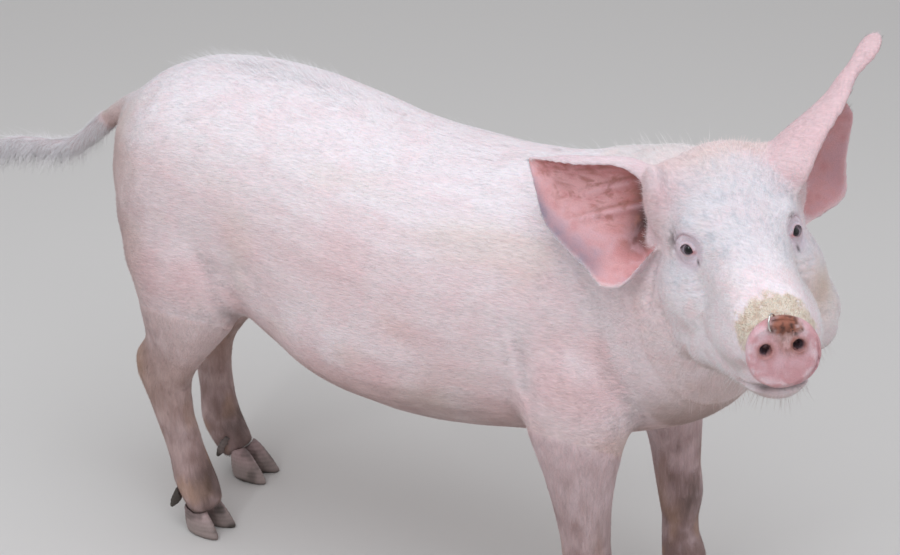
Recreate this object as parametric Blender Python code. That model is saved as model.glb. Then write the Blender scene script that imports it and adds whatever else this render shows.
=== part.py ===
"""A standing white farm pig at life size, its head turned to its right, as separate solid parts.

Metres. +X runs from the rump to the shoulders, +Y to the animal's left and +Z up. The soles of the
hooves are at z = 0, and the origin is under the middle of the bounding box.
The flesh is built up like clay from named masses, fused and smoothed, and then parted with thin cuts.
Ears, eyes, hooves and the nose ring are shaped on their own and seated with a small gap.
"""

import math

import bmesh
import bpy
import numpy as np
from mathutils import Matrix, Vector

# How the flesh is fused, thinned out and parted
CLAY_VOXEL = 0.0055
CLAY_SMOOTHING = 18
CLAY_TRIANGLES = 26000
CUT_GAP = 0.0006
SEAT_GAP = 0.0005
RING_POINTS = 28
STEPS = 4

# The head's place: the point between the eyes, and how the face is turned, raised and tilted
HEAD_PLACE = (0.337, -0.154, 0.698)
HEAD_TURN, HEAD_LIFT, HEAD_TILT = math.radians(-57.2), math.radians(8.4), math.radians(8.9)

# Rows of the trunk and neck: the ring's middle, how far it reaches up, down and to each side
TRUNK_ROWS = (
    (-0.652, 0.000, 0.578, 0.048, 0.050, 0.040),
    (-0.635, 0.000, 0.577, 0.086, 0.088, 0.074),
    (-0.598, 0.000, 0.570, 0.130, 0.124, 0.112),
    (-0.550, 0.000, 0.562, 0.152, 0.140, 0.145),
    (-0.460, 0.000, 0.555, 0.171, 0.145, 0.157),
    (-0.390, 0.000, 0.540, 0.188, 0.160, 0.158),
    (-0.320, 0.000, 0.515, 0.202, 0.182, 0.162),
    (-0.240, 0.000, 0.490, 0.206, 0.198, 0.168),
    (-0.160, 0.000, 0.480, 0.206, 0.202, 0.171),
    (-0.080, 0.000, 0.482, 0.202, 0.198, 0.166),
    (0.000, 0.000, 0.490, 0.194, 0.190, 0.157),
    (0.070, 0.000, 0.498, 0.194, 0.186, 0.147),
    (0.130, 0.000, 0.512, 0.194, 0.180, 0.137),
    (0.185, -0.010, 0.536, 0.194, 0.170, 0.126),
    (0.230, -0.034, 0.575, 0.180, 0.152, 0.113),
    (0.265, -0.060, 0.618, 0.156, 0.134, 0.102),
    (0.290, -0.080, 0.650, 0.100, 0.100, 0.080),
)
# Rows of a hind leg: x on the right leg and on the left, then y, z, and how far forward, back, to a side
HIND_ROWS = (
    (-0.490, -0.490, 0.070, 0.570, 0.090, 0.096, 0.050),
    (-0.488, -0.488, 0.085, 0.510, 0.100, 0.108, 0.070),
    (-0.484, -0.488, 0.098, 0.450, 0.096, 0.108, 0.070),
    (-0.490, -0.504, 0.102, 0.400, 0.082, 0.090, 0.058),
    (-0.508, -0.533, 0.100, 0.350, 0.062, 0.066, 0.046),
    (-0.530, -0.562, 0.096, 0.305, 0.048, 0.045, 0.036),
    (-0.548, -0.588, 0.091, 0.266, 0.043, 0.054, 0.034),
    (-0.550, -0.601, 0.088, 0.225, 0.036, 0.037, 0.030),
    (-0.541, -0.601, 0.086, 0.175, 0.030, 0.030, 0.027),
    (-0.527, -0.595, 0.084, 0.125, 0.029, 0.030, 0.027),
    (-0.519, -0.589, 0.082, 0.090, 0.031, 0.034, 0.031),
    (-0.507, -0.572, 0.081, 0.060, 0.028, 0.032, 0.031),
    (-0.497, -0.552, 0.080, 0.036, 0.023, 0.028, 0.029),
)
FORE_ROWS = (
    (0.088, 0.092, 0.070, 0.520, 0.078, 0.078, 0.058),
    (0.100, 0.108, 0.090, 0.460, 0.086, 0.082, 0.062),
    (0.116, 0.128, 0.106, 0.400, 0.084, 0.078, 0.056),
    (0.125, 0.144, 0.114, 0.350, 0.064, 0.062, 0.046),
    (0.131, 0.153, 0.116, 0.300, 0.048, 0.048, 0.038),
    (0.137, 0.162, 0.116, 0.250, 0.039, 0.039, 0.032),
    (0.142, 0.170, 0.114, 0.205, 0.034, 0.035, 0.031),
    (0.145, 0.176, 0.113, 0.172, 0.034, 0.034, 0.032),
    (0.144, 0.179, 0.111, 0.135, 0.027, 0.028, 0.026),
    (0.145, 0.183, 0.109, 0.105, 0.027, 0.030, 0.028),
    (0.149, 0.190, 0.108, 0.080, 0.030, 0.035, 0.032),
    (0.156, 0.198, 0.107, 0.055, 0.027, 0.031, 0.031),
    (0.160, 0.204, 0.107, 0.036, 0.022, 0.028, 0.029),
)
TAIL_ROWS = (
    (-0.610, 0.000, 0.632, 0.030, 0.030, 0.030),
    (-0.650, 0.000, 0.620, 0.024, 0.024, 0.022),
    (-0.690, 0.002, 0.598, 0.018, 0.018, 0.018),
    (-0.730, 0.006, 0.566, 0.016, 0.016, 0.015),
    (-0.775, 0.012, 0.533, 0.015, 0.016, 0.013),
    (-0.830, 0.016, 0.516, 0.015, 0.017, 0.012),
    (-0.880, 0.018, 0.510, 0.016, 0.019, 0.011),
    (-0.930, 0.016, 0.496, 0.015, 0.018, 0.010),
    (-0.970, 0.012, 0.470, 0.008, 0.008, 0.006),
)
# Masses on each side of the body: the middle and the half sizes
BODY_MASSES = (
    ((0.066, 0.092, 0.500), (0.090, 0.056, 0.115)),  # shoulder blade
    ((0.116, 0.108, 0.420), (0.074, 0.054, 0.090)),  # upper arm
    ((-0.492, 0.088, 0.520), (0.120, 0.070, 0.145)),  # ham
    ((-0.543, 0.082, 0.440), (0.054, 0.054, 0.125)),  # back of the thigh
    ((-0.180, 0.100, 0.440), (0.190, 0.074, 0.115)),  # ribs
    ((-0.400, 0.106, 0.450), (0.045, 0.040, 0.050)),  # flank
)

# Rows of the head in its own frame, x towards the snout, y to its left and z to its crown
SKULL_ROWS = (
    (-0.135, 0.000, 0.000, 0.072, 0.075, 0.075),
    (-0.100, 0.000, 0.004, 0.090, 0.082, 0.084),
    (-0.062, 0.000, 0.000, 0.086, 0.082, 0.085),
    (-0.032, 0.000, -0.005, 0.073, 0.076, 0.079),
    (-0.004, 0.000, -0.012, 0.060, 0.068, 0.064),
    (0.022, 0.000, -0.021, 0.052, 0.061, 0.053),
    (0.060, 0.000, -0.034, 0.045, 0.054, 0.049),
    (0.100, 0.002, -0.050, 0.042, 0.050, 0.047),
    (0.136, 0.004, -0.067, 0.040, 0.042, 0.0435),
    (0.158, 0.004, -0.077, 0.0470, 0.0420, 0.0450),
    (0.1705, 0.003, -0.0776, 0.0500, 0.0430, 0.0455),
)
JAW_ROWS = (
    (-0.120, 0.002, -0.080, 0.050, 0.058, 0.080),
    (-0.070, 0.006, -0.092, 0.055, 0.066, 0.089),
    (-0.020, 0.008, -0.101, 0.055, 0.065, 0.084),
    (0.030, 0.007, -0.107, 0.042, 0.058, 0.066),
    (0.075, 0.006, -0.113, 0.032, 0.046, 0.048),
    (0.110, 0.005, -0.117, 0.024, 0.034, 0.037),
    (0.138, 0.005, -0.118, 0.015, 0.021, 0.028),
)
# Paired masses of the head: the middle, the half sizes, and how far the pair leans to the left
HEAD_MASSES = (
    ((-0.048, 0.055, -0.060), (0.078, 0.043, 0.056), 0.003),  # cheek
    ((-0.012, 0.040, 0.024), (0.034, 0.030, 0.020), 0.000),  # brow
    ((-0.086, 0.056, 0.034), (0.046, 0.038, 0.052), 0.000),  # root of the ear
    ((-0.046, 0.058, -0.106), (0.070, 0.040, 0.052), 0.014),  # jowl
    ((0.046, 0.034, -0.076), (0.094, 0.028, 0.042), 0.005),  # side of the muzzle
)

# Thin cuts: the middle, the direction the cut faces, and its half sizes
CUTS = {
    "head": ((0.252, -0.048, 0.612), (0.80, -0.52, 0.34), 0.185, 0.160),
    "neck": ((0.165, -0.005, 0.535), (0.90, -0.05, 0.42), 0.235, 0.190),
    "tail": ((-0.698, 0.003, 0.592), (-0.76, 0.07, -0.64), 0.030, 0.030),
    "leg_front_right": ((0.120, -0.118, 0.352), (0.00, 0.52, 0.86), 0.090, 0.078),
    "leg_front_left": ((0.138, 0.118, 0.352), (0.00, -0.52, 0.86), 0.090, 0.078),
    "leg_rear_right": ((-0.500, -0.108, 0.372), (0.00, 0.42, 0.90), 0.125, 0.092),
    "leg_rear_left": ((-0.512, 0.106, 0.372), (0.00, -0.42, 0.90), 0.125, 0.092),
}
# A point near the surface of each piece of the parted flesh, and the triangles it keeps
PIECES = {
    "trunk": ((-0.160, 0.000, 0.690), 1380),
    "neck": ((0.215, 0.090, 0.560), 400),
    "head": ((0.420, -0.280, 0.700), 1560),
    "tail": ((-0.780, 0.012, 0.545), 220),
    "leg_front_right": ((0.142, -0.145, 0.200), 400),
    "leg_front_left": ((0.180, 0.145, 0.200), 400),
    "leg_rear_right": ((-0.550, -0.118, 0.200), 420),
    "leg_rear_left": ((-0.600, 0.114, 0.200), 420),
}

# An ear is a rolled leaf. Rows: how far along, how far its middle lies to the upper margin, its
# roll's radius, half the angle it is rolled through, and how far its back lies behind the margins
EAR_ROWS = {
    "ear_right": (
        (-0.030, 0.000, 0.034, 1.90, -0.034),
        (-0.012, -0.012, 0.044, 1.75, -0.036),
        (0.004, -0.030, 0.065, 1.40, -0.036),
        (0.022, -0.035, 0.078, 1.18, -0.033),
        (0.055, -0.030, 0.085, 0.96, -0.026),
        (0.100, -0.027, 0.067, 0.95, -0.017),
        (0.136, -0.022, 0.049, 0.95, -0.011),
        (0.160, -0.013, 0.028, 0.95, -0.007),
        (0.178, -0.005, 0.012, 0.95, -0.003),
        (0.187, -0.001, 0.005, 0.95, -0.001),
    ),
    "ear_left": (
        (-0.030, 0.000, 0.042, 2.30, -0.045),
        (0.000, 0.000, 0.055, 2.10, -0.049),
        (0.030, -0.006, 0.058, 1.90, -0.046),
        (0.060, -0.012, 0.055, 1.72, -0.037),
        (0.095, -0.016, 0.046, 1.55, -0.024),
        (0.130, -0.014, 0.034, 1.45, -0.014),
        (0.156, -0.008, 0.024, 1.30, -0.009),
        (0.178, -0.001, 0.023, 1.00, -0.006),
        (0.194, 0.003, 0.021, 0.85, -0.004),
        (0.204, 0.004, 0.011, 0.85, -0.002),
    ),
}
# The ear's root in the head's frame, the way it points and the way its opening faces, and how much
# further round its upper margin is rolled than its lower one
EAR_POSES = {
    "ear_right": ((-0.080, -0.080, 0.035), (-0.676, -0.697, 0.243), (0.722, -0.554, 0.418), 1.8),
    "ear_left": ((-0.078, 0.080, 0.030), (-0.348, 0.607, 0.715), (0.499, 0.745, -0.442), 1.0),
}
EAR_THICKNESS = (0.0070, 0.0040)  # at the root and at the tip
EAR_ACROSS = 7
EAR_STEPS = 2

EYE_RADIUS = 0.0118
EYE_PLACE = (-0.004, 0.0555, 0.000)
SOCKET_FACING = (0.76, 0.62, 0.18)
SOCKET_OFFSET = 0.0135
SOCKET_SIZE = (0.0095, 0.0150)  # half its depth and its radius

NOSTRIL_PLACE = (0.0179, -0.0685)
NOSTRIL_LEAN = 0.0025
NOSTRIL_SIZE = (0.0062, 0.0064)
NOSTRIL_DEPTH = 0.016
SNOUT_FRONT = 0.167

RING_RADIUS, RING_WIRE = 0.0098, 0.0013
RING_PLACE = (0.1620, -0.0045, -0.0405)
RING_TURN = math.radians(-30)

# Hooves: the middle of each foot on the floor and the way it points
FEET = {
    "rear_right": ((-0.502, -0.080), -4),
    "rear_left": ((-0.532, 0.078), 4),
    "front_right": ((0.158, -0.106), -4),
    "front_left": ((0.202, 0.106), 4),
}
# Rows of a claw: height, middle along the foot, half length and half width
CLAW_ROWS = (
    (0.000, 0.0080, 0.0300, 0.0118),
    (0.004, 0.0080, 0.0325, 0.0138),
    (0.020, 0.0020, 0.0285, 0.0138),
    (0.040, -0.0060, 0.0200, 0.0120),
    (0.050, -0.0090, 0.0130, 0.0085),
)
CLAW_SPREAD = 0.0160
CLAW_ANGLE = math.radians(7)
DEWCLAW_PLACE = (-0.034, 0.0190, 0.060)
DEWCLAW_SIZE = (0.0085, 0.030)


def clear_scene():
    for old in list(bpy.data.objects):
        bpy.data.objects.remove(old)


def material(name, colour, roughness, metallic=0.0):
    made = bpy.data.materials.new(name)
    made.use_nodes = True
    shader = made.node_tree.nodes["Principled BSDF"]
    shader.inputs["Base Color"].default_value = (*colour, 1.0)
    shader.inputs["Roughness"].default_value = roughness
    shader.inputs["Metallic"].default_value = metallic
    made.diffuse_color = (*colour, 1.0)
    return made


def head_matrix():
    turn = Matrix.Rotation(HEAD_TURN, 4, "Z")
    lift = Matrix.Rotation(-HEAD_LIFT, 4, "Y")
    tilt = Matrix.Rotation(HEAD_TILT, 4, "X")
    return Matrix.Translation(HEAD_PLACE) @ turn @ lift @ tilt


def smooth_rows(rows, steps=STEPS):
    """The rows with more of them in between, on a curve that passes through every row."""
    table = np.array(rows, float)
    padded = np.vstack([2 * table[0] - table[1], table, 2 * table[-1] - table[-2]])
    found = []
    for i in range(len(table) - 1):
        a, b, c, d = padded[i : i + 4]
        for t in np.arange(steps) / steps:
            curve = 2 * b + (c - a) * t + (2 * a - 5 * b + 4 * c - d) * t**2
            found.append((curve + (3 * b - a - 3 * c + d) * t**3) / 2)
    return np.array(found + [table[-1]])


def ring_points(middle, along, reference, up, down, side, fullness):
    """One ring: a rounded outline square to the path, with its own reach each way."""
    along = along.normalized()
    rise = (reference - along * reference.dot(along)).normalized()
    across = along.cross(rise)
    points = []
    for k in range(RING_POINTS):
        angle = 2 * math.pi * k / RING_POINTS
        c, s = math.cos(angle), math.sin(angle)
        wide = math.copysign(abs(c) ** (2 / fullness), c) * side
        high = math.copysign(abs(s) ** (2 / fullness), s) * (up if s > 0 else down)
        points.append(middle + across * wide + rise * high)
    return points


def skin_rings(bm, rings):
    """Joins rings of points into a closed tube with an end on each side."""
    loops = [[bm.verts.new(p) for p in ring] for ring in rings]
    for near, far in zip(loops, loops[1:]):
        for k in range(len(near)):
            j = (k + 1) % len(near)
            bm.faces.new((near[k], near[j], far[j], far[k]))
    bm.faces.new(loops[0])
    bm.faces.new(loops[-1])


def add_loft(bm, rows, reference, place=Matrix(), mirror=1, fullness=2.15):
    """Adds a closed tube through rows of middle, reach up, down and to each side."""
    table = smooth_rows(rows)
    middles = [Vector((x, y * mirror, z)) for x, y, z in table[:, :3]]
    rings = []
    for i, row in enumerate(table):
        along = middles[min(i + 1, len(middles) - 1)] - middles[max(i - 1, 0)]
        points = ring_points(middles[i], along, reference, *row[3:], fullness)
        rings.append([place @ p for p in points])
    skin_rings(bm, rings)


def add_mass(bm, middle, sizes, place=Matrix(), mirror=1):
    """Adds an egg-shaped mass."""
    spot = Matrix.Translation((middle[0], middle[1] * mirror, middle[2]))
    size = Matrix.Diagonal((*sizes, 1))
    egg = place @ spot @ size
    bmesh.ops.create_uvsphere(bm, u_segments=24, v_segments=16, radius=1, matrix=egg)


def object_of(bm, name, finish=None):
    bmesh.ops.recalc_face_normals(bm, faces=bm.faces)
    mesh = bpy.data.meshes.new(name)
    bm.to_mesh(mesh)
    bm.free()
    made = bpy.data.objects.new(name, mesh)
    bpy.context.collection.objects.link(made)
    if finish:
        mesh.materials.append(finish)
    return made


def apply_modifiers(obj):
    bpy.context.view_layer.update()
    graph = bpy.context.evaluated_depsgraph_get()
    obj.data = bpy.data.meshes.new_from_object(obj.evaluated_get(graph))
    obj.modifiers.clear()


def cut_away(obj, cutter, keep_cutter=False):
    """Takes the cutter's shape out of the object."""
    step = obj.modifiers.new("cut", "BOOLEAN")
    step.operation = "DIFFERENCE"
    step.object = cutter
    apply_modifiers(obj)
    if not keep_cutter:
        bpy.data.objects.remove(cutter)


def swollen(obj, by):
    """A copy of the object, grown by a small distance, to cut its seat with."""
    bm = bmesh.new()
    bm.from_mesh(obj.data)
    bm.normal_update()
    for vert in bm.verts:
        vert.co += vert.normal * by
    return object_of(bm, "seat_cutter")


def loose_pieces(obj):
    """The separate bodies of a mesh, each as a list of its faces, the largest first."""
    bm = bmesh.new()
    bm.from_mesh(obj.data)
    bm.faces.ensure_lookup_table()
    pieces, seen = [], set()
    for face in bm.faces:
        if face.index in seen:
            continue
        group, queue = [], [face]
        seen.add(face.index)
        while queue:
            at = queue.pop()
            group.append(at.index)
            for edge in at.edges:
                for other in edge.link_faces:
                    if other.index not in seen:
                        seen.add(other.index)
                        queue.append(other)
        pieces.append(group)
    pieces.sort(key=len, reverse=True)
    return bm, pieces


def piece_object(bm, group, name, finish):
    """A new object from some of a mesh's faces."""
    keep = set(group)
    part = bm.copy()
    part.faces.ensure_lookup_table()
    gone = [f for f in part.faces if f.index not in keep]
    bmesh.ops.delete(part, geom=gone, context="FACES")
    return object_of(part, name, finish)


def keep_largest(obj):
    """Drops all but the largest body of an object."""
    bm, pieces = loose_pieces(obj)
    name, finish = obj.name, obj.data.materials[0]
    bpy.data.objects.remove(obj)
    kept = piece_object(bm, pieces[0], name, finish)
    bm.free()
    return kept


def clay(finish):
    """The whole soft body, apart from the ears, as one closed mesh."""
    head = head_matrix()
    bm = bmesh.new()
    up, forward = Vector((0, 0, 1)), Vector((1, 0, 0))
    add_loft(bm, TRUNK_ROWS, up)
    add_loft(bm, TAIL_ROWS, up)
    for side, column in ((-1, 0), (1, 1)):
        for rows in (HIND_ROWS, FORE_ROWS):
            leg = [(row[column], *row[2:]) for row in rows]
            add_loft(bm, leg, forward, mirror=side)
        for middle, sizes in BODY_MASSES:
            add_mass(bm, middle, sizes, mirror=side)
        for (x, y, z), sizes, lean in HEAD_MASSES:
            add_mass(bm, (x, side * y + lean, z), sizes, head)
    add_loft(bm, SKULL_ROWS, up, head)
    add_loft(bm, JAW_ROWS, up, head)
    body = object_of(bm, "clay", finish)
    fuse = body.modifiers.new("fuse", "REMESH")
    fuse.mode = "VOXEL"
    fuse.voxel_size = CLAY_VOXEL
    smooth = body.modifiers.new("smooth", "SMOOTH")
    smooth.factor = 0.5
    smooth.iterations = CLAY_SMOOTHING
    apply_modifiers(body)
    return body


def thin_out(obj, triangles):
    """Keeps about so many triangles of a mesh."""
    count = sum(len(face.vertices) - 2 for face in obj.data.polygons)
    thin = obj.modifiers.new("thin", "DECIMATE")
    thin.ratio = min(1, triangles / count)
    thin.use_collapse_triangulate = True
    apply_modifiers(obj)


def cutting_disc(middle, facing, half_height, half_width):
    """A thin oval plate: its height follows the way up, its width goes across."""
    axis = Vector(facing).normalized()
    reference = Vector((0, 0, 1)) if abs(axis.z) < 0.7 else Vector((1, 0, 0))
    rise = (reference - axis * reference.dot(axis)).normalized()
    across = axis.cross(rise)
    bm = bmesh.new()
    rings = []
    for side in (-CUT_GAP / 2, CUT_GAP / 2):
        ring = []
        for k in range(32):
            angle = 2 * math.pi * k / 32
            spot = rise * half_height * math.cos(angle) + across * half_width * math.sin(angle)
            ring.append(Vector(middle) + spot + axis * side)
        rings.append(ring)
    skin_rings(bm, rings)
    return object_of(bm, "cutting_disc")


def flesh(finish):
    """The parted flesh: a dictionary of node name to object."""
    body = clay(finish)
    thin_out(body, CLAY_TRIANGLES)
    for cut in CUTS.values():
        cut_away(body, cutting_disc(*cut))
    bm, pieces = loose_pieces(body)
    bpy.data.objects.remove(body)
    bm.faces.ensure_lookup_table()
    corners = [[v.co for index in group for v in bm.faces[index].verts] for group in pieces]
    parts = {}
    for name, (seed, triangles) in PIECES.items():
        reach = [min((c - Vector(seed)).length for c in group) for group in corners]
        parts[name] = piece_object(bm, pieces[reach.index(min(reach))], name, finish)
        thin_out(parts[name], triangles)
    bm.free()
    return parts


def leaf_point(pose, row, turn, outwards):
    """A point on the rolled leaf, at a turn from -1 at the lower margin to 1 at the upper one."""
    root, ahead, opening, hood = pose
    along, middle, radius, angle, back = row
    rise = ahead.cross(opening) * (1 if root.y < 0 else -1)
    reach = radius + outwards
    wide, deep = math.sin(turn * angle), 1 - math.cos(turn * angle)
    if turn > 0 and hood > 1:
        bent = angle * hood
        crest = math.sin(min(bent, math.pi / 2))
        wide = math.sin(turn * bent) * math.sin(angle) / crest
        deep = (1 - math.cos(turn * bent)) * (1 - math.cos(angle)) / (1 - math.cos(bent))
    return root + ahead * along + rise * (middle + reach * wide) + opening * (back - outwards + reach * deep)


def ear(name, finish):
    """One ear: a leaf rolled to a scoop, thick at its root and thin at its tip."""
    root, ahead, opening = (Vector(v) for v in EAR_POSES[name][:3])
    ahead.normalize()
    opening = (opening - ahead * opening.dot(ahead)).normalized()
    pose = (root, ahead, opening, EAR_POSES[name][3])
    head = head_matrix()
    table = smooth_rows(EAR_ROWS[name], EAR_STEPS)
    length = table[-1, 0]
    turns = [2 * k / (EAR_ACROSS - 1) - 1 for k in range(EAR_ACROSS)]
    rings = []
    for row in table:
        share = max(row[0], 0) / length
        half = (EAR_THICKNESS[0] * (1 - share) + EAR_THICKNESS[1] * share) / 2
        half = min(half, row[2] * 0.45)
        outer = [leaf_point(pose, row, turn, half) for turn in turns]
        inner = [leaf_point(pose, row, turn * 0.97, -half) for turn in reversed(turns)]
        rings.append([head @ p for p in outer + inner])
    bm = bmesh.new()
    skin_rings(bm, rings)
    return object_of(bm, name, finish)


def eye(name, side, finish):
    bm = bmesh.new()
    x, y, z = EYE_PLACE
    place = head_matrix() @ Matrix.Translation((x, y * side, z))
    turned = place @ Matrix.Rotation(math.radians(90), 4, "X")
    bmesh.ops.create_uvsphere(
        bm, u_segments=14, v_segments=8, radius=EYE_RADIUS, matrix=turned
    )
    return object_of(bm, name, finish)


def socket_cutter(side):
    """A shallow bowl in front of the eye, so that it looks ahead."""
    x, y, z = EYE_PLACE
    facing = Vector((SOCKET_FACING[0], SOCKET_FACING[1] * side, SOCKET_FACING[2])).normalized()
    middle = Vector((x, y * side, z)) + facing * SOCKET_OFFSET
    turn = facing.to_track_quat("Z", "Y").to_matrix().to_4x4()
    depth, radius = SOCKET_SIZE
    bowl = head_matrix() @ Matrix.Translation(middle) @ turn @ Matrix.Diagonal((radius, radius, depth, 1))
    bm = bmesh.new()
    bmesh.ops.create_uvsphere(bm, u_segments=12, v_segments=6, radius=1, matrix=bowl)
    return object_of(bm, "socket_cutter")


def nostril_cutter(side):
    """A blunt peg that opens one nostril, leaning outwards."""
    across, height = NOSTRIL_PLACE
    rings = []
    for depth, size in ((-0.012, 1.25), (0.0, 1.1), (NOSTRIL_DEPTH * 0.5, 0.8), (NOSTRIL_DEPTH, 0.45)):
        ring = []
        for k in range(14):
            angle = 2 * math.pi * k / 14
            y = NOSTRIL_LEAN + side * (across - 0.15 * depth) + NOSTRIL_SIZE[0] * size * math.cos(angle)
            z = height + NOSTRIL_SIZE[1] * size * math.sin(angle)
            ring.append(head_matrix() @ Vector((SNOUT_FRONT - depth, y, z)))
        rings.append(ring)
    bm = bmesh.new()
    skin_rings(bm, rings)
    return object_of(bm, "nostril_cutter")


def nose_ring(name, wire, finish):
    """An open-wire ring through the top rim of the snout."""
    place = head_matrix() @ Matrix.Translation(RING_PLACE) @ Matrix.Rotation(RING_TURN, 4, "Z")
    rounds, sides = 20, 6
    bm = bmesh.new()
    grid = []
    for i in range(rounds):
        turn = 2 * math.pi * i / rounds
        loop = []
        for k in range(sides):
            angle = 2 * math.pi * k / sides
            reach = RING_RADIUS + wire * math.cos(angle)
            spot = Vector((reach * math.cos(turn), wire * math.sin(angle), reach * math.sin(turn)))
            loop.append(bm.verts.new(place @ spot))
        grid.append(loop)
    for i in range(rounds):
        near, far = grid[i], grid[(i + 1) % rounds]
        for k in range(sides):
            j = (k + 1) % sides
            bm.faces.new((near[k], near[j], far[j], far[k]))
    return object_of(bm, name, finish)


def claw(name, foot, angle, side, finish):
    """One of the two main hooves of a foot, narrowing to the toe, flat on the floor."""
    turn = math.radians(angle) + CLAW_ANGLE * side
    place = Matrix.Translation((*foot, 0)) @ Matrix.Rotation(turn, 4, "Z")
    rings = []
    for height, middle, length, width in CLAW_ROWS:
        ring = []
        for k in range(11):
            at = 2 * math.pi * k / 11
            x = middle + length * math.cos(at)
            y = width * math.sin(at) * (1 - 0.28 * math.cos(at)) + side * CLAW_SPREAD
            ring.append(place @ Vector((x, y, height)))
        rings.append(ring)
    bm = bmesh.new()
    skin_rings(bm, rings)
    return object_of(bm, name, finish)


def dewclaw(name, foot, angle, side, finish):
    """One of the two small hooves behind the pastern, clear of the floor."""
    place = Matrix.Translation((*foot, 0)) @ Matrix.Rotation(math.radians(angle), 4, "Z")
    x, y, z = DEWCLAW_PLACE
    lean = Matrix.Rotation(math.radians(205), 4, "Y") @ Matrix.Rotation(math.radians(-14 * side), 4, "X")
    place = place @ Matrix.Translation((x, y * side, z)) @ lean
    radius, length = DEWCLAW_SIZE
    rings = []
    for share, size in ((-0.35, 0.8), (0.0, 1.0), (0.6, 0.84), (1.0, 0.3)):
        ring = []
        for k in range(7):
            at = 2 * math.pi * k / 7
            spot = (radius * size * math.cos(at), radius * size * math.sin(at), length * share)
            ring.append(place @ Vector(spot))
        rings.append(ring)
    bm = bmesh.new()
    skin_rings(bm, rings)
    return object_of(bm, name, finish)


def hooves(parts, finish):
    """Two claws and two dewclaws on each foot, each hollowed out to seat on its leg."""
    for foot, (spot, angle) in FEET.items():
        end, side_name = foot.split("_")
        leg = parts["leg_" + foot]
        for side, tag in ((-1, "a"), (1, "b")):
            for maker, word in ((claw, "hoof"), (dewclaw, "dewclaw")):
                horn = maker(f"{word}_{foot}_{tag}", spot, angle, side, finish)
                cut_away(horn, swollen(leg, SEAT_GAP))
                keep_largest(horn)


def seat_origin():
    """Moves every piece so that the origin is under the middle of the whole, at the soles."""
    meshes = [obj.data for obj in bpy.context.collection.objects]
    corners = np.array([v.co[:] for mesh in meshes for v in mesh.vertices])
    low, high = corners.min(axis=0), corners.max(axis=0)
    shift = Matrix.Translation((-(low[0] + high[0]) / 2, -(low[1] + high[1]) / 2, -low[2]))
    for mesh in meshes:
        mesh.transform(shift)
    return shift


def main():
    clear_scene()
    skin = material("skin", (0.82, 0.66, 0.60), 0.6)
    ear_skin = material("ear_skin", (0.80, 0.52, 0.46), 0.55)
    eyeball = material("eyeball", (0.05, 0.04, 0.04), 0.08)
    horn = material("horn", (0.22, 0.19, 0.15), 0.5)
    steel = material("steel", (0.62, 0.62, 0.64), 0.25, 1.0)

    parts = flesh(skin)
    head = parts["head"]
    for name in EAR_ROWS:
        leaf = ear(name, ear_skin)
        cut_away(leaf, swollen(head, SEAT_GAP))
        cut_away(leaf, swollen(parts["neck"], SEAT_GAP))
        keep_largest(leaf)
    for side, tag in ((-1, "right"), (1, "left")):
        ball = eye("eye_" + tag, side, eyeball)
        cut_away(head, socket_cutter(side))
        cut_away(head, swollen(ball, SEAT_GAP))
        cut_away(head, nostril_cutter(side))
    nose_ring("nose_ring", RING_WIRE, steel)
    cut_away(head, nose_ring("ring_cutter", RING_WIRE + SEAT_GAP, steel))
    keep_largest(head)
    hooves(parts, horn)
    return seat_origin()


ORIGIN_SHIFT = main().to_translation()
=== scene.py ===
"""The looks of a standing white farm pig: skin, coat of bristles, eyes, hooves and nose ring.

Metres, +Z up, in the frame of the solids. +X runs from the rump to the shoulders and +Y to the
animal's left. What belongs to the head is laid out in the head's own frame: x towards the snout,
y to its left, z to its crown, from the point between the eyes.
"""

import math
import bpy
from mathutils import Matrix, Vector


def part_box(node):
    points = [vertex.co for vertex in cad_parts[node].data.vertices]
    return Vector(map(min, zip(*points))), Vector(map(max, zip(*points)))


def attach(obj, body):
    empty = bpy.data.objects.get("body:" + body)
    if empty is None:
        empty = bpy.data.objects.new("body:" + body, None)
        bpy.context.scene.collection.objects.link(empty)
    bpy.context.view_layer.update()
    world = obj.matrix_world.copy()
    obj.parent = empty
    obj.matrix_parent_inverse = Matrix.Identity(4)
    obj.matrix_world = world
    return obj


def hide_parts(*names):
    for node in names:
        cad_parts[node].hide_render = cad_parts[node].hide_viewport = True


bl_info = {
    "name": "White farm pig",
    "version": (1, 0, 0),
    "blender": (4, 5, 0),
    "location": "3D Viewport > Sidebar > Pig",
    "description": "Dresses the solids of a pig in skin, bristles, eyes, hooves and a nose ring",
    "category": "Mesh",
}

import bmesh
import bpy
import numpy as np
from mathutils import Matrix, Vector
from mathutils.bvhtree import BVHTree

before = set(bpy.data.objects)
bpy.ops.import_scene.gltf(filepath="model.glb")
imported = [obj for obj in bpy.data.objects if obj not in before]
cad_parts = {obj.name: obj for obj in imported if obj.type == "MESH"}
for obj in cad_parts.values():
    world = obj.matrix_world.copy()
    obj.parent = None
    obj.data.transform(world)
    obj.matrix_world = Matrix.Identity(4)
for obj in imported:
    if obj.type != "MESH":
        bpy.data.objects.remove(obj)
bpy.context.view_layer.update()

# ---- The head's frame, and where things lie in it


def middle_of(node):
    low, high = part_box(node)
    return (Vector(low) + Vector(high)) / 2


HEAD_TURN, HEAD_LIFT, HEAD_TILT = math.radians(-57.2), math.radians(8.4), math.radians(8.9)
EYE_AHEAD = -0.004
HEAD = (
    Matrix.Rotation(HEAD_TURN, 3, "Z")
    @ Matrix.Rotation(-HEAD_LIFT, 3, "Y")
    @ Matrix.Rotation(HEAD_TILT, 3, "X")
)
EYES = {-1: middle_of("eye_right"), 1: middle_of("eye_left")}
HEAD_ORIGIN = (EYES[-1] + EYES[1]) / 2 - HEAD @ Vector((EYE_AHEAD, 0, 0))
SIDES = ((-1, "right"), (1, "left"))

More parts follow.
